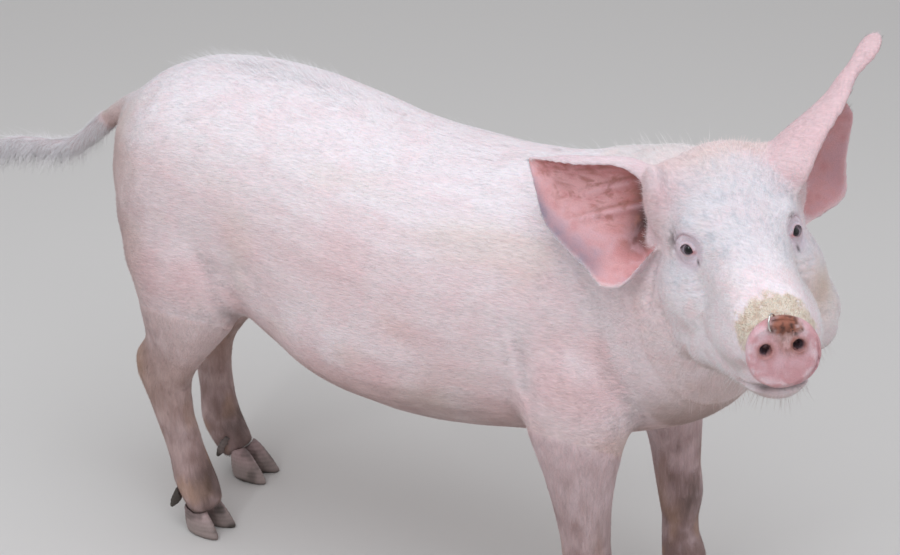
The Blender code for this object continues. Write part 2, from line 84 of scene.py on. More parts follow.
FLESH = (
    "trunk", "neck", "head", "tail", "leg_front_right", "leg_front_left",
    "leg_rear_right", "leg_rear_left", "ear_right", "ear_left",
)
LEGS = ("leg_front_right", "leg_front_left", "leg_rear_right", "leg_rear_left")

# The trunk's middle plane, and a distance that means nowhere near
TRUNK_MIDDLE = 0.07
FAR = 9.0

# Eyes and lids
EYE_RADIUS, EYE_CLEARANCE, CORNEA_RISE = 0.0118, 0.0006, 0.0007
SOCKET_FACING = (0.76, 0.62, 0.18)
GAZE = (0.86, 0.46, 0.22)
LID_SLANT = math.radians(14)
LID_HALF_WIDTH, LID_RISE, LID_DROP = 0.0084, 0.0064, 0.0050
LID_THICKNESS = 0.0014
LID_STRETCH = 0.84

# Snout
SNOUT_FRONT = 0.1675
SNOUT_LEAN, SNOUT_MIDDLE = 0.0022, -0.0765
SNOUT_HALF_WIDTH, SNOUT_HALF_HEIGHT = 0.0412, 0.0385
SNOUT_TIGHTENING = 0.095
NOSTRIL_LEAN, NOSTRIL_ACROSS, NOSTRIL_HEIGHT = 0.0025, 0.0179, -0.0685
MOUTH_HEIGHT, MOUTH_DEPTH = -0.1215, 0.0050
MUD_MIDDLE = (0.166, 0.0085, -0.0440)

# An ear is a rolled leaf. Rows: how far along, how far its middle lies to the upper margin, its
# roll's radius, half the angle it is rolled through, and how far its back lies behind the margins
EAR_ROWS = {
    "ear_right": (
        (-0.030, 0.000, 0.034, 1.90, -0.034),
        (-0.012, -0.012, 0.044, 1.75, -0.036),
        (0.004, -0.033, 0.070, 1.42, -0.036),
        (0.022, -0.037, 0.081, 1.20, -0.033),
        (0.055, -0.030, 0.085, 0.96, -0.026),
        (0.100, -0.027, 0.067, 0.95, -0.017),
        (0.136, -0.022, 0.049, 0.95, -0.011),
        (0.160, -0.013, 0.028, 0.95, -0.007),
        (0.178, -0.005, 0.012, 0.95, -0.003),
        (0.187, -0.001, 0.005, 0.95, -0.001),
    ),
    "ear_left": (
        (-0.030, 0.000, 0.042, 2.30, -0.045),
        (0.000, 0.000, 0.055, 2.10, -0.049),
        (0.030, -0.006, 0.058, 1.90, -0.046),
        (0.060, -0.012, 0.055, 1.72, -0.037),
        (0.095, -0.016, 0.047, 1.55, -0.024),
        (0.124, -0.012, 0.033, 1.42, -0.014),
        (0.142, -0.004, 0.0160, 1.20, -0.008),
        (0.158, 0.001, 0.0130, 1.00, -0.005),
        (0.178, 0.004, 0.0195, 0.85, -0.004),
        (0.196, 0.005, 0.0165, 0.85, -0.003),
        (0.205, 0.006, 0.0070, 0.85, -0.002),
    ),
}
# The ear's root, the way it points, the way its opening faces, and the roll of its upper margin
EAR_POSES = {
    "ear_right": ((-0.080, -0.080, 0.035), (-0.676, -0.697, 0.243), (0.722, -0.554, 0.418), 1.8),
    "ear_left": ((-0.078, 0.080, 0.030), (-0.348, 0.607, 0.715), (0.499, 0.745, -0.442), 1.0),
}
# How thick an ear is at its root and its tip, and how near to its middle surface its points lie
EAR_THICKNESS, EAR_NEAR = (0.0072, 0.0044), 0.014
# A narrow curl along an ear's upper margin, the turn it starts at and the angle it bends through
EAR_CURL = {"ear_right": 0.017, "ear_left": 0.004}
CURL_START, CURL_BEND = 0.84, 2.0
# How far the tip of an ear is twisted about its length, and where the twist starts
EAR_TWIST = {"ear_right": 0.0, "ear_left": math.radians(66)}
TWIST_START, TWIST_END = 0.116, 0.164
# How much further an ear's lower margin reaches near its root, as a share of the roll's radius
EAR_LOBE = {"ear_right": 0.0, "ear_left": 0.50}
# Two long ridges inside an ear: how far along and how far up from its middle line
EAR_RIDGES = (
    ((0.012, 0.032), (0.050, 0.014), (0.090, -0.008), (0.124, -0.030)),
    ((0.012, 0.002), (0.050, -0.018), (0.090, -0.042), (0.122, -0.064)),
)
# The furrow along each ridge lies this far above it
FURROW_RISE = 0.0075

# Folds of the face in side view: x, z, then half width and depth
FACE_FOLDS = (
    (((0.150, -0.119), (0.130, -0.123), (0.105, -0.128), (0.080, -0.130)), 0.0026, 0.0032),
    (((0.034, -0.034), (0.024, -0.040), (0.010, -0.046)), 0.0020, 0.0009),
    (((0.030, -0.026), (0.018, -0.031), (0.002, -0.034)), 0.0020, 0.0009),
    (((-0.022, 0.018), (-0.024, 0.000), (-0.018, -0.014)), 0.0030, 0.0018),
    (((-0.052, 0.006), (-0.072, -0.036), (-0.073, -0.078), (-0.080, -0.110)), 0.0045, 0.0026),
    (((0.004, -0.070), (-0.004, -0.100), (-0.030, -0.138), (-0.070, -0.175)), 0.0090, 0.0030),
)
# Folds of the body in side view: x, z, then half width and depth
BODY_FOLDS = (
    (((0.284, 0.530), (0.295, 0.490), (0.308, 0.435), (0.330, 0.385)), 0.0110, 0.0030),
    (((-0.168, 0.455), (-0.128, 0.492), (-0.098, 0.484), (-0.084, 0.450)), 0.0120, 0.0024),
)
# Soft swellings at the ears' roots, in the head's frame: the middle and the half sizes
SWELLINGS = (
    ((-0.064, -0.080, 0.044), (0.024, 0.017, 0.046)),
    ((-0.064, 0.078, 0.040), (0.022, 0.015, 0.040)),
)
# How much each kind of solid is evened out, and how deep its skin lies under the coat's outline
SOFTNESS = {"trunk": 1.0, "neck": 0.7, "head": 0.12, "tail": 0.06, "ear": 0.17, "leg": 0.16}
COAT_DEPTH = {
    "trunk": 0.0022, "neck": 0.0022, "head": 0.0012, "tail": 0.0012, "ear": 0.0004, "leg": 0.0014
}
# The skin is divided again within each of these distances from the middle of an eye
LID_REACHES = (0.027, 0.0215, 0.0150)

# Bristles: how deep the root sits, the least height of the tip over the skin, the thickness as a
# share of the width, and where a bent one has its second ring, with its girth
ROOT_DEPTH, TIP_CLEARANCE, FLATNESS = 0.0006, 0.0007, 0.26
BEND_AT = (0.52, 0.72)
# How much the bristles vary in way, length, width and lift, and in lightness on body and face
WAY_SPREAD, LENGTH_SPREAD, WIDTH_SPREAD, LIFT_SPREAD = 0.10, 0.20, 0.15, 0.35
SHADE_SPREAD, FACE_SHADE_SPREAD = 0.06, 0.11
PATCH_HALF, DRAFT_WIDENING = 0.0015, 1.3
# The bristles of the chin hang down
CHIN_WAY = (0, 0, -0.6)

# Hooves: how high the growth rings stand, and how far they wander
GROWTH_HEIGHT, GROWTH_WANDER = 0.00025, 0.0012
# The floor lies this far under the claws
FLOOR_GAP = 0.0004

# ---- Small tools


def deselect():
    for obj in bpy.context.selected_objects:
        obj.select_set(False)


def only(obj):
    deselect()
    obj.select_set(True)
    bpy.context.view_layer.objects.active = obj


def placed(name, mesh):
    """A new object in the scene, with the given mesh."""
    obj = bpy.data.objects.new(name, mesh)
    bpy.context.collection.objects.link(obj)
    return obj


def modified(obj, kind, **settings):
    """Applies one modifier to an object."""
    step = obj.modifiers.new(kind.lower(), kind)
    for key, value in settings.items():
        setattr(step, key, value)
    only(obj)
    bpy.ops.object.modifier_apply(modifier=step.name)


def edited(obj, operator, **settings):
    """Runs an operator of edit mode on the whole of a mesh."""
    only(obj)
    bpy.ops.object.mode_set(mode="EDIT")
    bpy.ops.mesh.select_all(action="SELECT")
    operator(**settings)
    bpy.ops.object.mode_set(mode="OBJECT")
    return obj


def copy_of(node):
    """A loose copy of a solid, with its doubled corners merged."""
    obj = placed("copy_of_" + node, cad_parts[node].data.copy())
    obj.data.materials.clear()
    return edited(obj, bpy.ops.mesh.remove_doubles, threshold=0.00001)


def sphere(segments, rings, radius, **settings):
    deselect()
    bpy.ops.mesh.primitive_uv_sphere_add(
        segments=segments, ring_count=rings, radius=radius, **settings
    )
    return bpy.context.object


def grouped(obj, name):
    """Puts the whole of a mesh into one vertex group."""
    obj.vertex_groups.new(name=name).add(range(len(obj.data.vertices)), 1.0, "REPLACE")
    return obj


def joined(objects, name):
    deselect()
    for obj in objects:
        obj.select_set(True)
    bpy.context.view_layer.objects.active = objects[0]
    bpy.ops.object.join()
    objects[0].name = name
    return objects[0]


def read(items, key, width=1, kind=np.float32):
    """A number, or a row of numbers, from each of a mesh's items."""
    flat = np.empty(len(items) * width, kind)
    items.foreach_get(key, flat)
    if kind is np.float32:
        flat = flat.astype(float)
    return flat.reshape(-1, width) if width > 1 else flat


def points_of(mesh):
    return read(mesh.vertices, "co", 3)


def normals_of(mesh):
    return read(mesh.vertices, "normal", 3)


def put_points(mesh, points):
    mesh.vertices.foreach_set("co", points.astype(np.float32).ravel())
    mesh.update()


def store(mesh, name, values):
    """Keeps a number or a colour for each corner point of a mesh."""
    if values.ndim == 1:
        layer = mesh.attributes.new(name, "FLOAT", "POINT")
        layer.data.foreach_set("value", values.astype(np.float32))
        return
    layer = mesh.attributes.new(name, "FLOAT_COLOR", "POINT")
    full = np.ones((len(values), 4), np.float32)
    full[:, :values.shape[1]] = values
    layer.data.foreach_set("color", full.ravel())


def diffuse(values, edges, rounds):
    """Evens out numbers held on the points of a mesh."""
    a, b = edges[:, 0], edges[:, 1]
    count = len(values)
    degree = np.bincount(a, minlength=count) + np.bincount(b, minlength=count)
    degree = np.maximum(degree, 1)
    values = values.astype(float)
    for _ in range(rounds):
        for k in range(values.shape[1]):
            column = values[:, k]
            around = np.bincount(a, column[b], count) + np.bincount(b, column[a], count)
            values[:, k] = 0.5 * column + 0.5 * around / degree
    return values


def unit(vectors):
    return vectors / np.maximum(np.linalg.norm(vectors, axis=1, keepdims=True), 1e-9)


def ramp(values, start, end):
    """Rises smoothly from 0 at start to 1 at end, or falls where end is the lower."""
    t = np.clip((values - start) / (end - start), 0, 1)
    return t * t * (3 - 2 * t)


def bell(values, width):
    return np.exp(-((values / width) ** 2))


def gap_to(points, centre):
    return np.linalg.norm(points - np.array(centre), axis=1)


def spot(points, centre, radius):
    return bell(gap_to(points, centre), radius)


def cell_number(cells, seed):
    """A fixed number from 0 to 1 for each whole-numbered cell of space."""
    x, y, z = (cells[:, k].astype(np.int64) for k in range(3))
    n = (x * 73856093) ^ (y * 19349663) ^ (z * 83492791) ^ (seed * 2654435761)
    n = ((n ^ (n >> 13)) * 1274126177) & 0x7FFFFFFF
    n = ((n ^ (n >> 16)) * 668265263) & 0x7FFFFFFF
    return (n >> 8) % 65536 / 65535


def cloud(points, size, seed):
    """Smooth noise from 0 to 1, with lumps of about the given size."""
    scaled = points / size
    base = np.floor(scaled)
    part = scaled - base
    part = part * part * (3 - 2 * part)
    total = np.zeros(len(points))
    for corner in range(8):
        step = np.array([(corner >> k) & 1 for k in range(3)])
        weight = np.prod(np.where(step, part, 1 - part), axis=1)
        total += weight * cell_number(base + step, seed)
    return total


def clouds(points, size, seed, small, small_seed, share=0.6):
    """Two sizes of noise, added together."""
    return share * cloud(points, size, seed) + (1 - share) * cloud(points, small, small_seed)


def in_head(points):
    return (points - np.array(HEAD_ORIGIN)) @ np.array(HEAD)


def from_head(vector):
    return np.array(HEAD @ Vector(vector))


def near_path(flat, path):
    """The distance from points in a plane to a path, and how far along it each is, from 0 to 1."""
    corners = np.array(path, float)
    steps = np.diff(corners, axis=0)
    lengths = np.linalg.norm(steps, axis=1)
    begun = np.concatenate([[0], np.cumsum(lengths)])
    best, along = np.full(len(flat), 9.0), np.zeros(len(flat))
    for start, step, length, before in zip(corners, steps, lengths, begun):
        share = np.clip((flat - start) @ step / length**2, 0, 1)
        gap = np.linalg.norm(flat - start - share[:, None] * step, axis=1)
        closer = gap < best
        best = np.where(closer, gap, best)
        along = np.where(closer, (before + share * length) / begun[-1], along)
    return best, along


def fold(flat, path, width, depth, lip=0.30):
    """How far a soft furrow with two low lips moves the surface outwards."""
    gap, along = near_path(flat, path)
    ends = ramp(along, -0.02, 0.35) * ramp(along, 1.02, 0.65)
    return ends * depth * (lip * bell(gap - 2.2 * width, 1.3 * width) - bell(gap, width))


# ---- Ears


def ear_axes(name):
    root, ahead, opening = (Vector(v) for v in EAR_POSES[name][:3])
    ahead.normalize()
    opening = (opening - ahead * opening.dot(ahead)).normalized()
    rise = ahead.cross(opening) * (1 if root.y < 0 else -1)
    return root, ahead, rise, opening


def ear_row(name, along):
    """An ear's row at each distance along it, rounded between the given ones."""
    rows = np.array(EAR_ROWS[name])
    slopes = np.gradient(rows, rows[:, 0], axis=0)
    at = np.clip(np.searchsorted(rows[:, 0], along) - 1, 0, len(rows) - 2)
    step = (rows[at + 1, 0] - rows[at, 0])[:, None]
    t = np.clip((along - rows[at, 0])[:, None] / step, 0, 1)
    start, end = rows[at], rows[at + 1]
    lead, trail = slopes[at] * step, slopes[at + 1] * step
    return (
        start * (1 - t) ** 2 * (1 + 2 * t) + end * t**2 * (3 - 2 * t)
        + lead * t * (1 - t) ** 2 - trail * t**2 * (1 - t)
    )


def ear_roll(name, turn, row):
    """How wide and how deep the roll reaches at a turn, in shares of its radius, and its slope."""
    hood, angle = EAR_POSES[name][3], row[:, 3]
    base = min(turn, CURL_START)
    bent = angle * hood if turn > 0 else angle * (0.80 + 0.20 * ramp(row[:, 0], -0.01, 0.05))
    wide_share, deep_share = 1.0, 1.0
    if turn < 0:
        wide_share = 1 + EAR_LOBE[name] * ramp(row[:, 0], 0.10, 0.02) * min(1.0, -2 * turn)
        deep_share = 0.5 + 0.5 * wide_share
    if turn > 0 and hood > 1:
        wide_share = np.sin(angle) / np.sin(np.minimum(bent, math.pi / 2))
        deep_share = (1 - np.cos(angle)) / (1 - np.cos(bent))
    lean = base * bent
    wide, deep = np.sin(lean) * wide_share, (1 - np.cos(lean)) * deep_share
    if turn > CURL_START:
        bend = CURL_BEND * (turn - CURL_START) / (1 - CURL_START)
        size = EAR_CURL[name] * ramp(row[:, 0], 0.19, 0.11) + 0.003
        size = np.minimum(size / np.maximum(row[:, 2], 0.004), 0.6)
        run, drop = math.sin(bend) / CURL_BEND, (1 - math.cos(bend)) / CURL_BEND
        wide = wide + size * (np.cos(lean) * run - np.sin(lean) * drop)
        deep = deep + size * (np.sin(lean) * run + np.cos(lean) * drop)
        lean = lean + bend
    return wide, deep, lean


def ear_twist(name, along, up, out, way):
    """Turns places on an ear about its length by the ear's twist, or back again."""
    angle = way * EAR_TWIST[name] * ramp(along, TWIST_START, TWIST_END)
    return up * np.cos(angle) - out * np.sin(angle), up * np.sin(angle) + out * np.cos(angle)


def ear_place(name, head_points):
    """Where points lie on an ear: how far along, how far up, the turn around its roll from -1 at
    the lower margin to 1 at the upper one, and how far they lie outside its middle surface.
    """
    root, ahead, rise, opening = (np.array(v) for v in ear_axes(name))
    away = head_points - root
    along, up, out = away @ ahead, away @ rise, away @ opening
    up, out = ear_twist(name, along, up, out, -1)
    turns, sides = np.zeros(len(away)), np.full(len(away), FAR)
    near = (along > -0.02) & (along < 0.22) & (np.abs(up) < 0.13) & (np.abs(out) < 0.10)
    row = ear_row(name, along[near])
    up_near, out_near = up[near], out[near]
    best = np.full(len(row), FAR)
    turn_at, side_at = np.zeros(len(row)), np.zeros(len(row))
    for turn in np.linspace(-1, 1, 61):
        wide, deep, lean = ear_roll(name, turn, row)
        across = up_near - row[:, 1] - row[:, 2] * wide
        behind = out_near - row[:, 4] - row[:, 2] * deep
        gap = np.hypot(across, behind)
        closer = gap < best
        best = np.where(closer, gap, best)
        turn_at = np.where(closer, turn, turn_at)
        side_at = np.where(closer, across * np.sin(lean) - behind * np.cos(lean), side_at)
    turns[near], sides[near] = turn_at, np.where(best < EAR_NEAR, side_at, FAR)
    return along, up, turns, sides


def ear_leaf(name):
    """One ear as a closed leaf with a fine grid, thick at its root and thin at its tip."""
    root, ahead, rise, opening = (np.array(v) for v in ear_axes(name))
    rows = np.array(EAR_ROWS[name])
    along = np.concatenate([np.linspace(rows[0, 0], 0.17, 60), np.linspace(0.172, rows[-1, 0], 20)])
    row = ear_row(name, along)
    share = np.clip(along / rows[-1, 0], 0, 1)
    half = (EAR_THICKNESS[0] * (1 - share) + EAR_THICKNESS[1] * share) / 2
    half = np.minimum(half, row[:, 2] * 0.45)
    rings = []
    for outwards, turns in ((1, np.linspace(-1, 1, 44)), (-1, np.linspace(0.985, -0.985, 44))):
        for turn in turns:
            wide, deep, lean = ear_roll(name, turn, row)
            up = row[:, 1] + row[:, 2] * wide + outwards * half * np.sin(lean)
            out = row[:, 4] + row[:, 2] * deep - outwards * half * np.cos(lean)
            up, out = ear_twist(name, along, up, out, 1)
            middle = root + along[:, None] * ahead + up[:, None] * rise
            rings.append(middle + out[:, None] * opening)
    points = np.stack(rings, axis=1)
    count, around = points.shape[:2]
    flat = points.reshape(-1, 3) @ np.array(HEAD).T + np.array(HEAD_ORIGIN)
    grid = np.arange(count * around).reshape(count, around)
    after = np.roll(grid, -1, axis=1)
    faces = np.stack([grid[:-1], after[:-1], after[1:], grid[1:]], axis=2).reshape(-1, 4).tolist()
    faces += [grid[0].tolist(), grid[-1][::-1].tolist()]
    mesh = bpy.data.meshes.new(name + "_leaf")
    mesh.from_pydata(flat.tolist(), [], faces)
    leaf = placed(mesh.name, mesh)
    return edited(leaf, bpy.ops.mesh.normals_make_consistent, inside=False)


def near_ridge(along, up, path):
    """The distances from a ridge in an ear and from the furrow over it, and how far along it."""
    ridge, far = near_path(np.stack([along, up], 1), path)
    furrow, _ = near_path(np.stack([along, up - FURROW_RISE], 1), path)
    return ridge, furrow, far


# ---- Shaping the skin


def sideways_from_head(way, side):
    """A way given for the left side, for either side of the head."""
    return (HEAD @ Vector((way[0], way[1] * side, way[2]))).normalized()


def eye_axes(side):
    """The eye's middle, and its axes backwards along the slit, up, and out of the socket."""
    facing = sideways_from_head(SOCKET_FACING, side)
    upright = HEAD @ Vector((0, 0, 1))
    rise = (upright - facing * upright.dot(facing)).normalized()
    backward = rise.cross(facing) * side
    slant = Matrix.Rotation(LID_SLANT, 2)
    along = backward * slant[0][0] + rise * slant[1][0]
    rise = rise * slant[0][0] - backward * slant[1][0]
    return [np.array(v) for v in (EYES[side], along, rise, facing)]


def lid_edges(along):
    """The heights of the upper and the lower lid's edge over the slit."""
    share = np.clip(along / LID_HALF_WIDTH, -1, 1)
    arch = np.clip(1 - share**2, 0, 1)
    upper = LID_RISE * arch**0.72 * (1 + 0.12 * share)
    lower = -LID_DROP * arch**0.9 * (1 - 0.15 * share)
    return upper, lower


def shape_lids(points, side):
    """Draws the skin over the eyeball as two lids with an open slit between them."""
    centre, along, rise, facing = eye_axes(side)
    away = points - centre
    a, b, d = away @ along, away @ rise, away @ facing
    reach = np.hypot(a * LID_STRETCH, b)
    near = (reach < 0.026) & (d > -0.006)
    a, b, d, reach = a[near], b[near], d[near], reach[near]
    shell = np.sqrt((EYE_RADIUS + LID_THICKNESS) ** 2 - np.minimum(reach, 0.0098) ** 2)
    blend = ramp(reach, 0.0084, 0.0190)
    lid = shell * (1 - blend) + d * blend
    above, below = ramp(b, 0.000, 0.005), ramp(b, 0.000, -0.004)
    behind = ramp(a, -0.016, 0.000)
    lid += 0.0012 * bell(reach - 0.0122, 0.0034) * above
    lid -= 0.0014 * bell(reach - 0.0168, 0.0011) * above * (0.25 + 0.75 * behind)
    lid += 0.0009 * bell(reach - 0.0196, 0.0021) * above * behind
    lid -= 0.0005 * bell(reach - 0.0122, 0.0012) * below
    upper, lower = lid_edges(a)
    inside = np.minimum(upper - b, b - lower)
    inside = np.where(np.abs(a) < LID_HALF_WIDTH, inside, -0.001)
    lid += 0.0004 * bell(inside + 0.0008, 0.0008)
    ball = np.sqrt(np.maximum((EYE_RADIUS - 0.0026) ** 2 - reach**2, 0))
    open_share = ramp(inside, -0.0001, 0.0011)
    lid = lid * (1 - open_share) + ball * open_share
    moved = points.copy()
    moved[near] += (lid - d)[:, None] * facing
    return moved


def snout_measure(head_points):
    """1 on the rim of the snout's disc, less inside it."""
    height = (head_points[:, 2] - SNOUT_MIDDLE) / SNOUT_HALF_HEIGHT
    half_width = SNOUT_HALF_WIDTH * (1 + 0.10 * np.clip(height, -1, 0.5))
    across = np.abs((head_points[:, 1] - SNOUT_LEAN) / half_width)
    swerve = 0.05 * (cloud(head_points * np.array([0, 1, 1]), 0.026, 17) - 0.5)
    return (across**2.4 + np.abs(height) ** 2.4) ** (1 / 2.4) + swerve


def from_snout_axis(head_points):
    return (head_points - (0, SNOUT_LEAN, SNOUT_MIDDLE)) * (0, 1, 1)


def shape_snout(points, normals, weight):
    """Gives the snout its flat disc, its rim, the furrow behind it and the nostrils' rims."""
    head = in_head(points)
    ahead = normals @ from_head((1, 0, 0))
    tighter = SNOUT_TIGHTENING * ramp(snout_measure(head), 0.60, 1.05)
    tighter *= ramp(head[:, 0], 0.120, 0.150)
    tighter *= weight
    points = points - (from_snout_axis(head) * tighter[:, None]) @ np.array(HEAD).T
    head = in_head(points)
    measure = snout_measure(head)
    front = ramp(head[:, 0], 0.150, 0.158) * ramp(ahead, 0.25, 0.6)
    front *= ramp(measure, 1.50, 1.30)
    front *= weight
    flat = SNOUT_FRONT - 0.0012 * np.clip(1 - measure**2, 0, 1)
    flat += 0.0004 * bell(measure - 0.84, 0.10)
    flat -= 0.0110 * ramp(measure, 0.84, 1.14)
    flat += 0.0005 * (cloud(head, 0.011, 18) - 0.5) + 0.0004 * (cloud(head, 0.0045, 19) - 0.5)
    height = head[:, 2] - NOSTRIL_HEIGHT
    for side, _ in SIDES:
        gap = np.hypot(head[:, 1] - NOSTRIL_LEAN - side * NOSTRIL_ACROSS, height)
        flat += 0.0012 * bell(gap - 0.0092, 0.0024) - 0.0030 * bell(gap, 0.0056)
    flat -= 0.0007 * bell(head[:, 1] - NOSTRIL_LEAN, 0.0016) * ramp(height, 0.006, -0.004)
    forward = front * (flat - head[:, 0])
    swell = 0.045 * bell(head[:, 0] - 0.1605, 0.0036) - 0.045 * bell(head[:, 0] - 0.1490, 0.0050)
    swell -= 0.020 * bell(head[:, 0] - 0.1390, 0.0028) * ramp(head[:, 2], -0.075, -0.050)
    swell *= ramp(measure, 0.75, 0.95) * ramp(measure, 1.8, 1.4) * weight * (1 - 0.6 * front)
    shift = from_snout_axis(head) * swell[:, None]
    shift[:, 0] += forward
    return points + shift @ np.array(HEAD).T


def shape_folds(points, normals, weights):
    """Presses the folds of the face and of the body into the skin."""
    head = in_head(points)
    sideways = normals @ from_head((0, 1, 0))
    under = bell(head[:, 2] - MOUTH_HEIGHT, 0.0030) * ramp(head[:, 0], 0.120, 0.142)
    lift = -MOUTH_DEPTH * under * weights["head"]
    front = weights["head"] + weights["neck"]
    for side, word in SIDES:
        beside = ramp(side * sideways, 0.05, 0.35) * ramp(side * head[:, 1], 0.008, 0.016)
        for path, width, depth in FACE_FOLDS:
            lift += beside * front * fold(head[:, [0, 2]], path, width, depth)
        flank = ramp(side * (points[:, 1] - TRUNK_MIDDLE), 0.03, 0.06)
        flank *= ramp(side * normals[:, 1], 0.0, 0.3)
        body = weights["trunk"] + weights["leg_front_" + word]
        for path, width, depth in BODY_FOLDS:
            lift += flank * body * fold(points[:, [0, 2]], path, width, depth, 0.0)
    return points + normals * lift[:, None]


def shape_ears(points, normals, weights):
    """Raises the long ridges inside the ears."""
    head = in_head(points)
    lift = np.zeros(len(points))
    for name in EAR_ROWS:
        along, up, turn, side = ear_place(name, head)
        inner = ramp(side, 0.0004, -0.0012) * weights[name] * ramp(np.abs(turn), 0.95, 0.8)
        for path in EAR_RIDGES:
            ridge, furrow, far = near_ridge(along, up, path)
            ends = ramp(far, -0.02, 0.15) * ramp(far, 1.02, 0.45)
            lift += inner * ends * (0.0046 * bell(ridge, 0.0058) - 0.0022 * bell(furrow, 0.0020))
    return points + normals * lift[:, None]


# ---- Building the skin


def region_weights(obj):
    """How much each point of the skin belongs to each part of the body."""
    names = [group.name for group in obj.vertex_groups]
    table = np.zeros((len(obj.data.vertices), len(names)))
    for vert in obj.data.vertices:
        for entry in vert.groups:
            table[vert.index, entry.group] = entry.weight
    return table / np.maximum(table.sum(axis=1, keepdims=True), 1e-6), names


def part_shares(table, names, points):
    """The shares of the parts at each point, with the ears told apart by their own shape."""
    head = in_head(points)
    ears = [names.index(name) for name in EAR_ROWS]
    table[:, names.index("head")] += table[:, ears].sum(axis=1)
    table[:, ears] = 0
    for name in EAR_ROWS:
        along, _, _, side = ear_place(name, head)
        share = ramp(side, 0.0070, 0.0050) * ramp(side, -0.0120, -0.0095)
        share *= ramp(along, -0.014, -0.004)
        table *= 1 - share[:, None]
        table[:, names.index(name)] = share
    return table / table.sum(axis=1, keepdims=True)


def final_shares(obj):
    """Like region_weights, for a skin whose ears have their final shape."""
    table, names = region_weights(obj)
    return part_shares(table, names, points_of(obj.data)), names


def by_name(table, names):
    return {name: table[:, k] for k, name in enumerate(names)}


def by_region(table, names, values):
    """A number at each point, from one for each kind of solid."""
    return table @ np.array([values[name.split("_")[0]] for name in names])


def set_group(obj, name, values, levels):
    """A vertex group from an array, in a few even steps."""
    group = obj.vertex_groups.new(name=name)
    steps = np.round(np.clip(values, 0, 1) * levels).astype(int)
    for step in range(1, levels + 1):
        group.add([int(i) for i in np.nonzero(steps == step)[0]], step / levels, "REPLACE")


def thin_out(obj, chosen, keep):
    """Collapses the flattest edges among the chosen points, down to so many triangles in all."""
    set_group(obj, "thin", chosen.astype(float), 2)
    triangles = sum(len(p.vertices) - 2 for p in obj.data.polygons)
    modified(obj, "DECIMATE", ratio=min(1.0, keep / triangles), vertex_group="thin")
    obj.vertex_groups.remove(obj.vertex_groups["thin"])


def refine(obj, centre, reach):
    """Divides the faces around a point once."""
    only(obj)
    bpy.ops.object.mode_set(mode="EDIT")
    bpy.ops.mesh.select_all(action="DESELECT")
    bm = bmesh.from_edit_mesh(obj.data)
    for face in bm.faces:
        if (face.calc_center_median() - centre).length < reach:
            face.select_set(True)
    bmesh.update_edit_mesh(obj.data)
    bpy.ops.mesh.subdivide(number_cuts=1)
    bpy.ops.object.mode_set(mode="OBJECT")


def flesh_source():
    """All the flesh in one mesh, a vertex group for each solid, with the eye holes filled."""
    pieces = []
    for node in FLESH:
        piece = ear_leaf(node) if node.startswith("ear") else copy_of(node)
        pieces.append(grouped(piece, node))
    for side, _ in SIDES:
        plug = sphere(32, 16, EYE_RADIUS + 0.0010, location=EYES[side])
        bpy.ops.object.transform_apply(location=True)
        pieces.append(grouped(plug, "head"))
    for middle, sizes in SWELLINGS:
        lump = sphere(24, 14, 1)
        place = Matrix.Translation(HEAD_ORIGIN) @ HEAD.to_4x4() @ Matrix.Translation(middle)
        lump.data.transform(place @ Matrix.Diagonal((*sizes, 1)))
        pieces.append(grouped(lump, "head"))
    return joined(pieces, "flesh_source")


def softness(table, names, points):
    """How much each point is evened out: less at the eyes and the snout."""
    face = table[:, names.index("head")]
    head = in_head(points)
    soft = by_region(table, names, SOFTNESS)
    for middle, _ in SWELLINGS:
        soft += 0.35 * spot(head, middle, 0.035)
    eyes = sum(spot(points, EYES[side], 0.030) for side, _ in SIDES)
    soft += 0.40 * face * np.clip(1 - eyes, 0, 1)
    snout = ramp(head[:, 0], 0.135, 0.150) * face
    return soft * (1 - 0.85 * snout)


def finely_shaped(table, names):
    """Which points are the head's and the ears', whose triangles are smaller."""
    return sum(table[:, names.index(n)] for n in ("head", "ear_right", "ear_left")) > 0.5


def build_skin(settings):
    source = flesh_source()
    skin = placed("skin", source.data.copy())
    cell = settings.cell
    modified(skin, "REMESH", mode="VOXEL", voxel_size=cell)
    only(skin)
    bpy.context.view_layer.objects.active = source
    bpy.ops.object.data_transfer(
        data_type="VGROUP_WEIGHTS", vert_mapping="POLYINTERP_NEAREST",
        layers_select_src="ALL", layers_select_dst="NAME",
    )
    bpy.data.objects.remove(source)

    table, names = region_weights(skin)
    edges = read(skin.data.edges, "vertices", 2, np.int32)
    points = points_of(skin.data)
    table = part_shares(diffuse(table, edges, 6), names, points)
    set_group(skin, "soft", softness(table, names, points), 16)
    modified(skin, "SMOOTH", vertex_group="soft", factor=0.5, iterations=settings.smoothing)
    skin.vertex_groups.remove(skin.vertex_groups["soft"])

    weights = by_name(table, names)
    points, normals = points_of(skin.data), normals_of(skin.data)
    points -= normals * by_region(table, names, COAT_DEPTH)[:, None]
    points = shape_snout(points, normals, weights["head"])
    put_points(skin.data, points)
    points = shape_folds(points, normals_of(skin.data), weights)
    put_points(skin.data, shape_ears(points, normals_of(skin.data), weights))

    fine = finely_shaped(table, names)
    first_loops = read(skin.data.polygons, "loop_start", 1, np.int32)
    vertex_at = read(skin.data.loops, "vertex_index", 1, np.int32)
    fine_triangles = 2 * int(fine[vertex_at[first_loops]].sum())
    thin_out(skin, ~fine, fine_triangles + settings.body_triangles)
    fine = finely_shaped(*final_shares(skin))
    thin_out(skin, fine, settings.head_triangles + settings.body_triangles)

    for side, _ in SIDES:
        for reach in LID_REACHES:
            refine(skin, EYES[side], reach)
        put_points(skin.data, shape_lids(points_of(skin.data), side))
    return skin


# ---- Markings: one set of colours for the skin and for the bristles on it


def paint(*shares):
    """A colour as light, from the red, green and blue from 0 to 255 that a colour picker shows."""
    return tuple(((c / 255 + 0.055) / 1.055) ** 2.4 if c > 10 else c / 3294.6 for c in shares)


